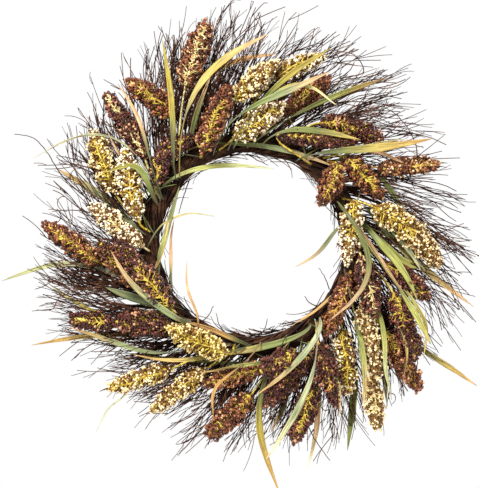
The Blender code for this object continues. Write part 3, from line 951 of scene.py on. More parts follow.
SORGHUM_ROWS = (
    (Seed.RUSSET, Stalk.CREAM, (0.0, 0.9, 1.0)),
    (Seed.RUSSET, Stalk.YELLOW, (0.0, 0.3, 0.85)),
    (Seed.MAROON, Stalk.YELLOW, (0.25, 0.75, 0.75)),
    (Seed.RUSSET, Stalk.YELLOW, (0.05, 0.85, 1.0)),
    (Seed.MAROON, Stalk.YELLOW, (0.15, 0.75, 0.8)),
    (Seed.RUSSET, Stalk.YELLOW, (0.3, 0.7, 0.6)),
    (Seed.RUSSET, Stalk.YELLOW, (0.0, 0.25, 0.7)),
    (Seed.MIXED, Stalk.ORANGE, (0.5, 0.9, 0.8)),
    (Seed.MAROON, Stalk.YELLOW, (0.0, 0.4, 0.9)),
    (Seed.MAROON, Stalk.YELLOW, (0.0, 0.5, 0.8)),
    (Seed.MAROON, Stalk.CREAM, (0.0, 0.25, 0.7), (0.72, 0.95, 0.7)),
    (Seed.MAROON, Stalk.YELLOW, (0.0, 0.25, 0.6), (0.8, 1.0, 0.5)),
    (Seed.RUSSET, Stalk.YELLOW, (0.3, 0.5, 0.3)),
    (Seed.RUSSET, Stalk.YELLOW, (0.1, 0.85, 0.8)),
    (Seed.RUSSET, Stalk.YELLOW, (0.1, 0.8, 0.8)),
    (Seed.MAROON, Stalk.YELLOW),
    (Seed.MAROON, Stalk.ORANGE, (0.4, 0.7, 0.3)),
    (Seed.BROWN, Stalk.YELLOW, (0.4, 0.6, 0.2)),
    (Seed.MAROON, Stalk.YELLOW),
    (Seed.MAROON, Stalk.YELLOW, (0.0, 0.4, 0.7)),
    (Seed.MAROON, Stalk.CREAM, (0.5, 0.85, 0.7)),
    (Seed.RUSSET, Stalk.YELLOW, (0.15, 0.7, 0.7)),
    (Seed.PLUM, Stalk.YELLOW, (0.1, 0.3, 0.6), (0.6, 0.8, 0.5)),
    (Seed.MAROON, Stalk.YELLOW, (0.1, 0.5, 0.5)),
    (Seed.MAROON, Stalk.YELLOW, (0.05, 0.6, 0.9)),
    (Seed.RUSSET, Stalk.ORANGE, (0.2, 0.8, 0.7)),
    (Seed.RUSSET, Stalk.YELLOW, (0.05, 0.8, 1.0)),
)
MILLET_ROWS = (
    (Seed.CREAM, Stalk.CREAM, (0.3, 0.6, 0.45)),
    (Seed.WHITE, Stalk.YELLOW, (0.1, 0.85, 0.8)),
    (Seed.CREAM, Stalk.YELLOW, (0.2, 0.9, 0.6)),
    (Seed.CREAM, Stalk.YELLOW, (0.2, 0.8, 0.75)),
    (Seed.CREAM, Stalk.YELLOW, (0.0, 0.3, 0.6)),
    (Seed.CREAM, Stalk.YELLOW, (0.2, 0.5, 0.3)),
    (Seed.CREAM, Stalk.YELLOW, (0.0, 0.5, 0.85)),
    (Seed.CREAM, Stalk.CREAM),
    (Seed.WHITE, Stalk.YELLOW, (0.0, 0.9, 0.85)),
    (Seed.WHITE, Stalk.YELLOW, (0.2, 0.7, 0.5)),
    (Seed.WHITE, Stalk.CREAM, (0.4, 0.6, 0.3)),
    (Seed.WHITE, Stalk.YELLOW, (0.1, 0.8, 0.5)),
    (Seed.GOLD, Stalk.YELLOW, (0.0, 0.8, 0.9)),
    (Seed.WHITE, Stalk.YELLOW, (0.0, 0.55, 0.9)),
)
HEAD_LOOKS = [
    HeadLook(f"{kind}_head_{number:02d}", *row[:2], bare=row[2:])
    for kind, rows in (("sorghum", SORGHUM_ROWS), ("millet", MILLET_ROWS))
    for number, row in enumerate(rows, 1)
]


@dataclass
class GrainShape:
    """One grain, as the mesh that every grain is a copy of."""

    segments: int = 6
    rings: int = 4
    length: float = 1.12

    def __post_init__(self) -> None:
        """Make the unit grain."""
        grain = bmesh.new()
        sphere = bmesh.ops.create_uvsphere
        sphere(grain, u_segments=self.segments, v_segments=self.rings, radius=1.0)
        bmesh.ops.scale(grain, vec=(1.0, 1.0, self.length), verts=grain.verts)
        grain.verts.index_update()
        self.corners = np.array([vertex.co for vertex in grain.verts])
        self.faces = [[vertex.index for vertex in face.verts] for face in grain.faces]
        grain.free()

    def copies(self, name: str, places: Array, axes: Array, sizes: Array,
               tones: Array) -> bpy.types.Mesh:
        """A mesh of many grains.

        Args:
            name: Name of the mesh.
            places: Each grain's middle.
            axes: Which way each grain points.
            sizes: Each grain's radius.
            tones: Each grain's tone, from 0 to 1.

        Returns:
            The mesh, in metres, with the tones in its "tone" attribute.
        """
        across = unit(np.cross(axes, (0.31, 0.87, 0.39)))
        basis = np.stack([across, np.cross(axes, across), axes], axis=1) * sizes[:, None, None]
        points = (np.einsum("vk,nkj->nvj", self.corners, basis) + places[:, None]).reshape(-1, 3)
        count = len(self.corners)
        firsts = range(0, count * len(places), count)
        faces = [[corner + first for corner in face] for first in firsts for face in self.faces]
        mesh = bpy.data.meshes.new(name)
        mesh.from_pydata((points * MM).tolist(), [], faces)
        tone = mesh.attributes.new("tone", "FLOAT", "POINT")
        tone.data.foreach_set("value", np.repeat(tones, count).astype(np.float32))
        return mesh


# tone spans of a pale head's grains; the brown ones are partly the head's own brown and partly
# painted shade in the gaps between pale grains
PALE_TONES, BROWN_AND_SHADE_TONES = (0.62, 1.0), (0.0, 0.42)


@dataclass
class SeedHead:
    """One head: a stalk with whorls of forked branchlets, and a cluster of grains on each."""

    model: Model
    shape: GrainShape
    look: HeadLook
    number: int
    sides: int = 6
    stem_radius: float = 1.6
    whorl_gap: float = 6.2
    cluster_gap: float = 9.0
    cluster_radius: float = 3.5
    shade_core_level: float = 0.62
    shade_layer_gap: float = 4.6
    shade_layer_grain: float = 2.2
    grain: tuple[float, float] = (1.85, 1.62)
    rib_gap: float = 1.7
    rib_radius: float = 0.78
    strip_spread: tuple[float, float] = (0.27, 0.46)
    budded: float = 0.8
    pale_share: float = 0.72
    seed: int = 700

    def read(self) -> None:
        """Take the centre line and the outline from the CAD node."""
        mesh = self.model.merged(self.look.node)
        rings = rings_from(cap_of(mesh, self.sides), self.sides, set(mesh.verts))
        mesh.free()
        centres = np.array([ring.mean(axis=0) for ring in rings])
        spokes = [np.linalg.norm(ring - ring.mean(axis=0), axis=1) for ring in rings]
        radii = np.array([spoke.mean() for spoke in spokes])
        along = arc_lengths(centres)
        self.base = along[max(int(np.argmax(radii > 1.5 * self.stem_radius)) - 1, 0)]
        self.path = smooth_path(centres, 12)
        scale = arc_lengths(self.path)[-1] / along[-1]
        self.base *= scale
        self.length = along[-1] * scale
        self.outline = (along * scale, radii)

    def at(self, distance: float) -> tuple[Array, Array, Array, Array]:
        """The centre line's point and frame: point, heading, forward and sideways directions."""
        ends = np.clip([distance - 1.0, distance, distance + 1.0], 0, self.length)
        before, point, after = resample(self.path, ends)
        heading = unit(after - before)
        forward = np.array([0.0, -1.0, 0.0])
        forward = unit(forward - forward.dot(heading) * heading)
        if distance > self.length:
            point = point + heading * (distance - self.length)
        return point, heading, forward, np.cross(heading, forward)

    def surface(self, distance: float, turn: float, level: float) -> Array:
        """A point on the head.

        Args:
            distance: How far along it.
            turn: How far round it from the front.
            level: Share of its radius.

        Returns:
            The point.
        """
        point, _, forward, side = self.at(distance)
        radius = float(np.interp(distance, *self.outline)) * level
        return point + radius * (forward * math.cos(turn) + side * math.sin(turn))

    def lattice(self, sheaf: Sheaf, rng: Draws) -> list[Array]:
        """Lay the bare stalk along the front: a ridge, and short ribs that fork off it all along.

        Args:
            sheaf: The head's stalks.
            rng: The head's random draws.

        Returns:
            The fork ends that still hold grains.
        """
        ends: list[Array] = []
        span = self.length - self.base
        spread = self.strip_spread[self.look.is_millet]
        for start, end, amount in self.look.bare:
            first, last = self.base + start * span, self.base + min(end, 0.95) * span
            along = np.arange(first - 2, last + 2, 3.0)
            sway = 0.14 * np.sin(along / 9 + self.number)
            ridge = [self.surface(distance, turn, 0.82) for distance, turn in zip(along, sway)]
            sheaf.add(np.array(ridge), self.rib_radius * 1.3)
            for distance in np.arange(first, last, self.rib_gap):
                if rng.uniform() > 0.35 + 0.65 * amount:
                    continue
                aside, ahead = rng.normal(0, spread), rng.uniform(2.5, 6.5)
                lean = 0.5 * aside + rng.normal(0, 0.16)
                fork = (ahead, aside + lean, rng.uniform(0.94, 1.06))
                places = ((0.0, 0.25 * aside, 0.8), (0.5 * ahead, aside, 0.9), fork)
                rib = np.array([
                    self.surface(distance + far, turn, level) for far, turn, level in places
                ])
                sheaf.add(rib, self.rib_radius * np.array([1.0, 0.95, 0.85]))
                for prong in (-0.2, 0.2):
                    reach = distance + ahead + rng.uniform(0.8, 3.0)
                    turn = aside + lean + prong * rng.uniform(0.5, 1.4)
                    tip = self.surface(reach, turn, rng.uniform(0.98, 1.12))
                    twig = np.array([rib[2], (rib[2] + tip) / 2, tip])
                    sheaf.add(twig, self.rib_radius * np.array([0.85, 0.8, 0.75]))
                    if rng.uniform() < self.budded * min(abs(turn) / spread, 1.0):
                        ends.append(tip)
        return ends

    def tone(self, level: float, rng: Draws) -> float:
        """One grain's tone; a pale head has pale and brown grains, and little between. Its brown
        grains are partly its own brown and partly painted shade in its gaps.
        """
        if self.look.is_millet:
            return rng.uniform(*(PALE_TONES if rng.uniform() < self.pale_share else BROWN_AND_SHADE_TONES))
        return level + rng.normal(0, 0.28)

    def clusters(self, sheaf: Sheaf, rng: Draws) -> list[tuple]:
        """Place the grains: a cluster on every branchlet, and a dark inner layer round the core,
        which like the core is painted shade inside the head.

        Args:
            sheaf: The head's stalks, which gain the branchlets.
            rng: The head's random draws.

        Returns:
            Each grain's place, axis, radius and tone.
        """
        grain, found = self.grain[self.look.is_millet], []
        for end in self.lattice(sheaf, rng):
            for _ in range(int(rng.integers(1, 4))):
                place, axis = end + rng.normal(0, 1.1, 3), unit(rng.normal(0, 1, 3))
                found.append((place, axis, grain * rng.uniform(0.75, 1.05), self.tone(0.5, rng)))
        whorls = np.arange(self.base + 2.5, self.length + 1.0, self.whorl_gap)
        for index, distance in enumerate(whorls):
            radius = float(np.interp(distance, *self.outline)) * rng.uniform(0.86, 1.04)
            count = max(3, round(FULL_TURN * radius / self.cluster_gap))
            share = (distance - self.base) / max(self.length - self.base, 1.0)
            for member in range(count):
                turn = FULL_TURN * (member + 0.5 * (index % 2)) / count + rng.normal(0, 0.12)
                turn = (turn + math.pi) % FULL_TURN - math.pi
                tip, heading, forward, side = self.at(distance + rng.normal(0, 1.2))
                out = forward * math.cos(turn) + side * math.sin(turn)
                around = np.cross(heading, out)
                tip = tip + out * radius * rng.uniform(0.7, 1.16)
                root = self.at(max(distance - 0.75 * radius, self.base))[0]
                bare = rng.uniform() < self.look.bareness(share, turn)
                if not bare:
                    middle = root + 0.62 * (tip - root) + 0.12 * radius * out
                    taper = self.rib_radius * np.array([1.0, 0.9, 0.8])
                    sheaf.add(np.array([root, middle, tip]), taper)
                level = rng.normal(0.38, 0.2)
                for bead in range(0 if bare else int(rng.integers(3, 8))):
                    way = GOLDEN_TURN * bead + turn
                    spread = self.cluster_radius * math.sqrt((bead + 0.2) / 5.5)
                    offset = spread * (math.cos(way) * heading + math.sin(way) * around)
                    raised = rng.normal(0, 0.6) - 0.16 * spread**2
                    place = tip + offset + raised * out + rng.normal(0, 0.5, 3)
                    size = grain * rng.uniform(0.72, 1.2)
                    axis = unit(out + 0.25 * rng.normal(0, 1, 3))
                    found.append((place, axis, size, self.tone(level, rng)))
        # a layer of dark grains round the core: painted shade deep inside the head
        for distance in np.arange(self.base + 3, self.length - 4, self.shade_layer_gap):
            radius = float(np.interp(distance, *self.outline)) * (self.shade_core_level + 0.1)
            count = max(4, round(FULL_TURN * radius / (self.shade_layer_gap + 0.8)))
            for member in range(count):
                turn = FULL_TURN * (member + rng.uniform(-0.3, 0.3)) / count
                place = self.surface(distance + rng.normal(0, 1.0), turn, self.shade_core_level + 0.1)
                axis, size = unit(rng.normal(0, 1, 3)), self.shade_layer_grain * rng.uniform(0.85, 1.15)
                found.append((place, axis, size, rng.uniform(0, 0.22)))
        return found

    def build(self) -> None:
        """Make the head's stalk and grains."""
        self.read()
        rng = np.random.default_rng(self.seed + self.number)
        name = self.look.node.replace("head", "stalk")
        sheaf = Sheaf(name, 1)
        steps = np.linspace(0, self.length - 3, 20)
        sheaf.add(resample(self.path, steps), np.linspace(self.stem_radius, 0.8, 20))
        # a dark core tube along the head: painted shade for its shadowed inside
        shade_core_span = np.linspace(self.base, self.length - 3, 20)
        shade_core_radii = np.interp(shade_core_span, *self.outline) * self.shade_core_level
        sheaf.add(resample(self.path, shade_core_span), shade_core_radii, finish=1)
        places, axes, sizes, tones = (np.array(part) for part in zip(*self.clusters(sheaf, rng)))
        stalk = link_mesh(name, sheaf.mesh(), [self.look.stalk.value, SHADE_CORE])
        seeds = self.shape.copies(name, places, axes, sizes, np.clip(tones, 0, 1))
        grains = link_mesh(self.look.node.replace("head", "grains"), seeds, [self.look.seed.value])
        for piece in (stalk, grains):
            slot = "millet_seed" if self.look.is_millet else "sorghum_seed"
            hang(piece, slot, self.look.node)


# ------------------------------------------------------------------ grass


@dataclass(frozen=True)
class BladeLook:
    """One blade's dyes from root to tip.

    It is known by where its tip is: its angle, and its reach beyond the rope's line. It is a thin
    stem until it opens out, at a reach of its own.
    """

    angle: float
    reach: float
    opens: float
    root: Dye
    middle: Dye
    tip: Dye


BEHIND_LOOKS = (
    BladeLook(84, 120, 92, YELLOW, ORANGE, PEACH),
    BladeLook(105, 88, 16, OLIVE, OLIVE, PEACH),
    BladeLook(159, 134, 32, SAGE, SAGE, ORANGE),
    BladeLook(78, -30, 8, LIGHT, LIGHT, PALE),
    BladeLook(44, 16, 8, GREEN, SAGE, PEACH),
    BladeLook(12, 74, 60, OLIVE, OLIVE, SAGE),
    BladeLook(345, 164, 30, SAGE, YELLOW, PEACH),
    BladeLook(353, 92, 48, PALE, PALE, CREAM),
    BladeLook(353, 104, 40, LIGHT, LIGHT, YELLOW),
    BladeLook(339, -62, -18, OLIVE, OLIVE, PEACH),
    BladeLook(301, -14, 4, YELLOW, ORANGE, ORANGE),
    BladeLook(230, 0, 4, OLIVE, ORANGE, ORANGE),
    BladeLook(226, 72, 22, OLIVE, GREEN, GREEN),
    BladeLook(205, 178, 32, OLIVE, YELLOW, ORANGE),
    BladeLook(192, 136, 74, YELLOW, YELLOW, CREAM),
    BladeLook(198, 60, 10, DARK, DARK, SAGE),
    BladeLook(188, 192, 36, PALE, PALE, LIGHT),
    BladeLook(145, -14, -6, ORANGE, OLIVE, OLIVE),
    BladeLook(200, -42, -14, ORANGE, PEACH, PEACH),
    BladeLook(285, 164, 64, YELLOW, PEACH, CREAM),
    BladeLook(277, 110, 62, OLIVE, OLIVE, PEACH),
    BladeLook(296, 160, 72, OLIVE, GREEN, OLIVE),
    BladeLook(311, 140, 60, SAGE, PALE, LIGHT),
    BladeLook(328, 210, 114, OLIVE, YELLOW, ORANGE),
)
OVER_LOOKS = (
    BladeLook(114, 148, 18, OLIVE, BRIGHT, BRIGHT),
    BladeLook(87, 136, 64, YELLOW, BRIGHT, PEACH),
    BladeLook(130, 130, 42, OLIVE, PEACH, PEACH),
    BladeLook(152, 72, 10, OLIVE, GREEN, BRIGHT),
    BladeLook(157, 166, 58, PALE, PALE, CREAM),
    BladeLook(67, 104, 42, GREEN, SAGE, PEACH),
    BladeLook(69, 134, 46, GREEN, BRIGHT, YELLOW),
    BladeLook(61, 78, 52, LIGHT, BRIGHT, CREAM),
    BladeLook(52, 138, 50, GREEN, LIGHT, ORANGE),
    BladeLook(46, 58, 20, GREEN, OLIVE, YELLOW),
    BladeLook(31, 130, 20, OLIVE, YELLOW, ORANGE),
    BladeLook(30, 88, 42, PEACH, PEACH, PEACH),
    BladeLook(336, 106, 12, BROWN, PEACH, PEACH),
    BladeLook(319, 8, 8, OLIVE, OLIVE, PEACH),
    BladeLook(274, 56, 10, PALE, SAGE, ORANGE),
    BladeLook(254, 18, 10, GREEN, GREEN, ORANGE),
    BladeLook(206, 122, 54, SAGE, SAGE, ORANGE),
    BladeLook(185, 44, 4, SAGE, SAGE, PEACH),
    BladeLook(257, 90, 34, ORANGE, ORANGE, ORANGE),
    BladeLook(276, 184, 36, OLIVE, BRIGHT, ORANGE),
    BladeLook(275, 136, 42, PALE, SAGE, CREAM),
    BladeLook(307, 110, 46, GREEN, LIGHT, YELLOW),
    BladeLook(332, 122, 68, LIGHT, LIGHT, YELLOW),
)


# the tufts on each side, where on the rope's section their hubs lie, and their blades' looks
TUFT_SIDES = (("back", 52.0, BEHIND_LOOKS), ("front", 118.0, OVER_LOOKS))


@dataclass(kw_only=True)
class BladeWork:
    """How every blade is made: a folded, tapered strip of cloth with its own dyes.

    It opens out from its thin stem a lead before the reach that its look gives, unless that is
    near the rope. The strand gap keeps the ribs of one blade from matching the next one's.
    """

    model: Model
    columns: int = 4
    rows: int = 40
    thickness: float = 0.35
    fold: float = 0.36
    outline: tuple[tuple[float, float], ...] = (
        (0, 0.2), (0.1, 0.5), (0.35, 0.86), (0.55, 0.95), (0.8, 0.6), (0.93, 0.28), (1, 0.03)
    )
    stem_half: float = 0.8
    tip_length: float = 9.0
    lead: float = 8.0
    near: float = 16.0
    strand_gap: float = 40.0
    painted_root_shade: float = 0.45

    def start(self) -> MeshEdit:
        """An empty mesh with the layers that a blade's dye and ribs are read from."""
        blades = bmesh.new()
        blades.verts.layers.float_color.new("tint")
        blades.verts.layers.float.new("along")
        blades.verts.layers.float.new("across")
        return blades

    def add_blade(self, tuft: MeshEdit, line: Array, half: float, look: BladeLook,
                  seed: int) -> None:
        """Add one blade to a tuft.

        Args:
            tuft: The mesh that gets it.
            line: Its centre line from root to tip.
            half: Its greatest half width.
            look: Its dyes.
            seed: Seed of its own folds.
        """
        rng = np.random.default_rng(seed)
        end = line[-1] + unit(line[-1] - line[-2]) * self.tip_length
        path = smooth_path(np.vstack([line, end]), 10)
        length = arc_lengths(path)[-1]
        share = np.linspace(0, 1, self.rows + 1)
        points = resample(path, share * length)
        run = unit(np.gradient(points, axis=0))
        across = unit(np.column_stack([-run[:, 2], np.zeros(len(run)), run[:, 0]]))
        front = unit(np.cross(run, across))
        front *= np.where(front[:, 1:2] > 0, -1.0, 1.0)
        twist = rng.uniform(-0.5, 0.5) + rng.uniform(-0.7, 0.7) * share
        local = points - self.model.centre
        reach = np.hypot(local[:, 0], local[:, 2]) - self.model.rope_radius
        opened = int(np.argmax(reach > look.opens - self.lead)) if look.opens > self.near else 0
        leaf = np.clip((share - share[opened]) / (1 - share[opened]), 0, 1)
        wide = half * np.interp(leaf, *zip(*self.outline))
        wide[:opened] = self.stem_half
        ripple = 0.3 * np.sin(share * length / 7 + rng.uniform(0, 6))
        dyes = [np.array(linear(dye.value)) for dye in (look.root, look.middle, look.tip)]
        stops = (0.0, 0.22, 0.5, 0.72, 1.0)
        table = np.array([dyes[0], dyes[0], dyes[1], (dyes[1] + dyes[2]) / 2, dyes[2]])
        tints = np.column_stack([np.interp(leaf, stops, column) for column in table.T])
        # blades darken towards the root: painted shade where their lower parts lie in shadow
        tints[:, :3] *= np.interp(leaf, (0, 0.3), (self.painted_root_shade, 1.0))[:, None]
        tint_layer = tuft.verts.layers.float_color["tint"]
        along_layer = tuft.verts.layers.float["along"]
        across_layer = tuft.verts.layers.float["across"]
        made = bmesh.ops.create_grid(tuft, x_segments=self.columns, y_segments=self.rows, size=0.5)
        for vertex in made["verts"]:
            row, place = round((vertex.co.y + 0.5) * self.rows), 2 * vertex.co.x
            flat = across[row] * math.cos(twist[row]) + front[row] * math.sin(twist[row])
            lift = front[row] * math.cos(twist[row]) - across[row] * math.sin(twist[row])
            raised = self.fold * wide[row] * (abs(place) - 0.5) + ripple[row] * place
            vertex[tint_layer] = tints[row]
            vertex[along_layer] = share[row] * length
            vertex[across_layer] = place * wide[row] + self.strand_gap * seed
            vertex.co = Vector((points[row] + flat * wide[row] * place + lift * raised) * MM)

    def finish(self, name: str, blades: MeshEdit, *nodes: str) -> None:
        """Turn finished blades into a piece, and hang it on the wreath.

        Args:
            name: Name of the piece.
            blades: The blades.
            nodes: The CAD nodes that it stands for.
        """
        mesh = bpy.data.meshes.new(name)
        blades.to_mesh(mesh)
        blades.free()
        piece = link_mesh(name, mesh, [GRASS])
        solidify = piece.modifiers.new("thickness", "SOLIDIFY")
        solidify.thickness = self.thickness * MM
        solidify.offset = 0.0
        hang(piece, "grass_blade", *nodes)


@dataclass(kw_only=True)
class GrassTuft(BladeWork):
    """The blades that spring from one hub, along the lines that the CAD model gives them."""

    node: str
    seat: float
    looks: tuple[BladeLook, ...]
    hub_margin: float = 0.15
    fewest: int = 12
    root_gap: float = 1.6
    smoothing: int = 3
    foremost: float = -66.0
    give: float = 9.0

    def centre_lines(self) -> list[tuple[Array, float]]:
        """Each blade's centre line from root to tip and its greatest half width, from the CAD."""
        mesh = self.model.merged(self.node)
        places = np.array([vertex.co for vertex in mesh.verts]) / MM
        far = self.model.hub_distance(places, self.seat)
        near_hub, hub = dict(zip(mesh.verts, far)), self.model.hub_radius + self.hub_margin
        free = {vertex for vertex, away in near_hub.items() if away > hub}
        found = []
        for first in [vertex for vertex in mesh.verts if vertex in free]:
            if first not in free:
                continue
            body = sorted(steps_from(first, free), key=lambda vertex: vertex.index)
            free -= set(body)
            if len(body) < self.fewest:
                continue
            start = min(body, key=lambda vertex: near_hub[vertex])
            steps = steps_from(start, set(body))
            most = max(steps.values())
            last = [vertex for vertex in body if steps[vertex] >= most - 1]
            ranks = {v: (v.co - start.co).length + (steps[v] == most) for v in last}
            end = max(last, key=ranks.get)
            tip = set(sorted(body, key=lambda vertex: (vertex.co - end.co).length)[:4])
            rings = rings_from(tip, 4, set(body))
            if len(rings) < 3:
                continue
            pairs = list(itertools.combinations(range(4), 2))
            sides = [sorted(np.linalg.norm(ring[a] - ring[b]) for a, b in pairs) for ring in rings]
            line = np.array([ring.mean(axis=0) for ring in rings])[::-1]
            away = self.model.hub_distance(line, self.seat)
            line = line[int(np.argmax(away > self.model.hub_radius + self.root_gap)) :]
            for _ in range(self.smoothing):
                line[1:-1] = (line[:-2] + 2 * line[1:-1] + line[2:]) / 4
            beyond = np.maximum(self.foremost - line[:, 1], 0)
            line[:, 1] += beyond - self.give * (1 - np.exp(-beyond / self.give))
            found.append((line, max(side[2] for side in sides) / 2))
        mesh.free()
        return found

    def look_of(self, tip: Array) -> BladeLook:
        """The look whose tip is nearest to this one."""
        ends = self.model.polar(
            np.array([look.angle for look in self.looks]),
            self.model.rope_radius + np.array([look.reach for look in self.looks]),
            tip[1] - self.model.centre[1],
        )
        return self.looks[int(np.linalg.norm(ends - tip, axis=1).argmin())]

    def build(self) -> None:
        """Make the tuft."""
        tuft = self.start()
        for index, (line, half) in enumerate(self.centre_lines()):
            look = self.look_of(line[-1])
            self.add_blade(tuft, line, half, look, index + 10 * int(self.node[-1]))
            LOG.info("%s blade %d: tip at %s degrees, %.1f mm", self.node, index, look.angle, half)
        self.finish(self.node.replace("tuft", "blades"), tuft, self.node)


@dataclass(frozen=True)
class LaidBlade:
    """A listed blade: how far forward it lies, and its run of angles and radii."""

    half: float
    front: float
    dyes: tuple[Dye, Dye, Dye]
    run: tuple[tuple[float, float], ...]


LAID_BLADES = (
    LaidBlade(
        1.6, -30, (OLIVE, YELLOW, PALE), ((182, 137), (170, 123), (165, 115), (154, 92), (146, 69))
    ),
    LaidBlade(3.4, -31, (OLIVE, LIGHT, PEACH), ((199, 128), (187, 121), (174, 113), (156, 114))),
    LaidBlade(2.4, -27, (OLIVE, PEACH, PEACH), ((211, 120), (196, 110), (184, 106), (167, 106))),
    LaidBlade(3.2, -44, (OLIVE, YELLOW, ORANGE), ((270, 132), (255, 147), (242, 169), (225, 205))),
    LaidBlade(1.3, -24, (PALE, PALE, PALE), ((229, 220), (230, 255), (229, 285), (230, 312))),
    LaidBlade(3.6, -62, (GREEN, LIGHT, PEACH), ((324, 162), (319, 186), (313, 213), (306, 245))),
    LaidBlade(3.8, -58, (OLIVE, LIGHT, PALE), ((337, 161), (331, 189), (318, 232), (313, 263))),
    LaidBlade(2.2, -60, (OLIVE, YELLOW, BROWN), ((336, 195), (331, 219), (326, 241), (319, 260))),
    LaidBlade(2.4, -58, (LIGHT, YELLOW, YELLOW), ((346, 197), (340, 225), (335, 248), (328, 263))),
    LaidBlade(5.0, -50, (GREEN, LIGHT, LIGHT), ((12, 147), (1, 166), (-8, 193), (-17, 222))),
    LaidBlade(4.2, -46, (OLIVE, SAGE, PALE), ((18, 162), (10, 176), (1, 196), (-7, 218))),
    LaidBlade(3.0, -48, (OLIVE, GREEN, YELLOW), ((23, 131), (13, 130), (2, 141), (-8, 158))),
    LaidBlade(1.8, -40, (OLIVE, BROWN, PEACH), ((155, 166), (150, 187), (146, 207), (143, 230))),
    LaidBlade(3.2, -58, (OLIVE, LIGHT, PEACH), ((296, 147), (301, 178), (302, 207), (298, 243))),
    LaidBlade(3.4, -42, (OLIVE, SAGE, LIGHT), ((245, 144), (236, 147), (227, 152), (216, 163))),
    LaidBlade(3.0, -48, (GREEN, LIGHT, ORANGE), ((290, 148), (275, 153), (261, 160), (250, 176))),
    LaidBlade(2.2, -46, (GREEN, YELLOW, CREAM), ((45, 145), (43, 179), (39, 208), (35, 238))),
    LaidBlade(2.4, -36, (DARK, OLIVE, PEACH), ((175, 138), (170, 161), (168, 186), (168, 212))),
)
STEM_DYES = [list(Dye).index(dye) for dye in (OLIVE, DARK, BROWN, OLIVE, GREEN)]


@dataclass(kw_only=True)
class LooseBlades(BladeWork):
    """Blades that lie among the heads, and narrow stems that cross the rope."""

    blades: tuple[LaidBlade, ...] = LAID_BLADES
    stems: int = 46
    stem_width: tuple[float, float] = (0.5, 1.2)
    stem_front: tuple[float, float] = (-33.0, -26.0)
    root_front: float = -27.0
    droop: float = 4.0
    seed: int = 131
    laid_seed: int = 60
    stem_seed: int = 200

    def lay(self, blades: MeshEdit, laid: LaidBlade, seed: int) -> None:
        """Add one blade, which rises from the rope to its own depth and dips at its tip."""
        run = smooth_path(np.array(laid.run, float), 4)
        share = np.linspace(0, 1, len(run))
        fronts = (self.root_front, laid.front, laid.front, laid.front + self.droop)
        depth = np.interp(share, (0, 0.3, 0.8, 1), fronts)
        line = self.model.polar(run[:, 0], run[:, 1], depth)
        self.add_blade(blades, line, laid.half, BladeLook(0, 0, 0, *laid.dyes), seed)

    def build(self) -> None:
        """Make them all as one piece."""
        rng = np.random.default_rng(self.seed)
        blades = self.start()
        for number, laid in enumerate(self.blades):
            self.lay(blades, laid, self.laid_seed + number)
        for number in range(self.stems):
            angle, turn = rng.uniform(0, 360), rng.uniform(4, 24) * rng.choice([-1, -1, 1])
            inner, outer = rng.uniform(121, 142), rng.uniform(146, 182)
            dyes = tuple(list(Dye)[int(index)] for index in rng.choice(STEM_DYES, 3))
            between = (angle + 0.45 * turn, inner + 0.4 * (outer - inner))
            run = ((angle, inner), between, (angle + turn, outer))
            half, front = rng.uniform(*self.stem_width), rng.uniform(*self.stem_front)
            self.lay(blades, LaidBlade(half, front, dyes, run), self.stem_seed + number)
        self.finish("loose_blades", blades, *(f"front_tuft_{number}" for number in range(1, 5)))


# ------------------------------------------------------------------ stage


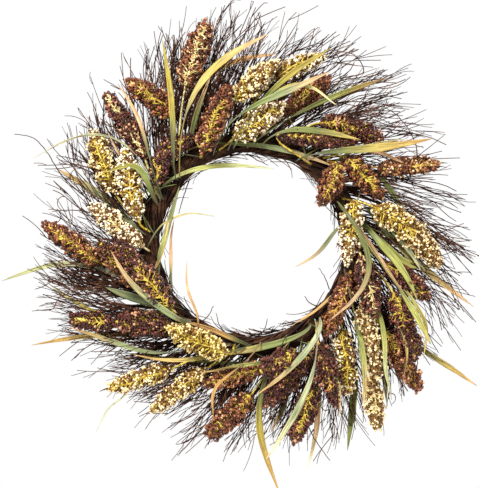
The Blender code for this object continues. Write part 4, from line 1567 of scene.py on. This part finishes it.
@dataclass
class Studio:
    """Pale floor, soft light and a camera square on to the front of the wreath."""

    view_width: float = 622.7
    lens: float = 100.0
    sensor: float = 36.0
    middle: tuple[float, float, float] = (-15.6, -38.0, -154.7)
    floor_level: float = -660.0
    floor_size: float = 1150.0
    ambient: float = 0.38

    def camera(self) -> None:
        """Set up the camera, whose long side is the frame's height."""
        data = bpy.data.cameras.new("camera")
        data.lens, data.sensor_width = self.lens, self.sensor
        tall = self.view_width * FRAME_HEIGHT / FRAME_WIDTH
        away = tall * self.lens / self.sensor
        data.clip_start, data.clip_end = 0.05, 50.0
        made = bpy.data.objects.new("camera", data)
        made.location = Vector(self.middle) * MM + Vector((0, -away * MM, 0))
        made.rotation_euler = (math.pi / 2, 0, 0)
        bpy.context.scene.collection.objects.link(made)
        bpy.context.scene.camera = made

    def lamp(self, name: str, place: tuple[float, ...], size: float, power: float) -> None:
        """Add a square soft lamp that faces the wreath.

        Args:
            name: Its name.
            place: Where it is.
            size: Length of its side.
            power: Its power in watts.
        """
        data = bpy.data.lights.new(name, "AREA")
        data.size, data.energy = size * MM, power
        made = bpy.data.objects.new(name, data)
        made.location = Vector(place) * MM
        aim = Vector(self.middle) * MM - made.location
        made.rotation_euler = aim.to_track_quat("-Z", "Y").to_euler()
        made.visible_camera = False
        bpy.context.scene.collection.objects.link(made)

    def floor(self) -> None:
        """Lay the pale floor under the wreath."""
        disc = bmesh.new()
        bmesh.ops.create_circle(disc, cap_ends=True, segments=96, radius=self.floor_size / 2 * MM)
        bmesh.ops.translate(disc, verts=disc.verts, vec=(0, 0, self.floor_level * MM))
        mesh = bpy.data.meshes.new("floor")
        disc.to_mesh(mesh)
        disc.free()
        link_mesh("floor", mesh, [PaleFloor("matt_white_paint")])

    def build(self) -> None:
        """Make the whole stage."""
        scene = bpy.context.scene
        scene.view_settings.view_transform = "Standard"
        world = bpy.data.worlds.new("studio")
        world.use_nodes = True
        background = world.node_tree.nodes["Background"]
        seen = add_node(world.node_tree, "LightPath").outputs["Is Camera Ray"]
        glow = ranged(world.node_tree, seen, self.ambient, 1.0)
        fill(world.node_tree, background, {"Color": linear("#ffffff"), "Strength": glow})
        scene.world = world
        self.camera()
        self.lamp("key", (-900, -1500, 900), 700, 78)
        self.lamp("fill", (1100, -1500, 0), 1200, 22)
        self.lamp("back", (700, 1500, 500), 1200, 30)
        self.floor()


def main() -> None:
    """Build every piece in order."""
    logging.basicConfig(level=logging.INFO, format="%(message)s")
    for thing in list(bpy.data.objects):
        bpy.data.objects.remove(thing, do_unlink=True)
    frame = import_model()
    model = Model(frame["nodes"])
    Studio().build()
    WireWork(model).dress()
    for piece in (TwigRope, TwigFans, Flyaways):
        piece(model).build()
    shape = GrainShape()
    for number, look in enumerate(HEAD_LOOKS):
        SeedHead(model, shape, look, number).build()
    for number in range(1, 5):
        for side, seat, looks in TUFT_SIDES:
            GrassTuft(model=model, node=f"{side}_tuft_{number}", seat=seat, looks=looks).build()
    LooseBlades(model=model).build()


if __name__ == "__main__":
    main()
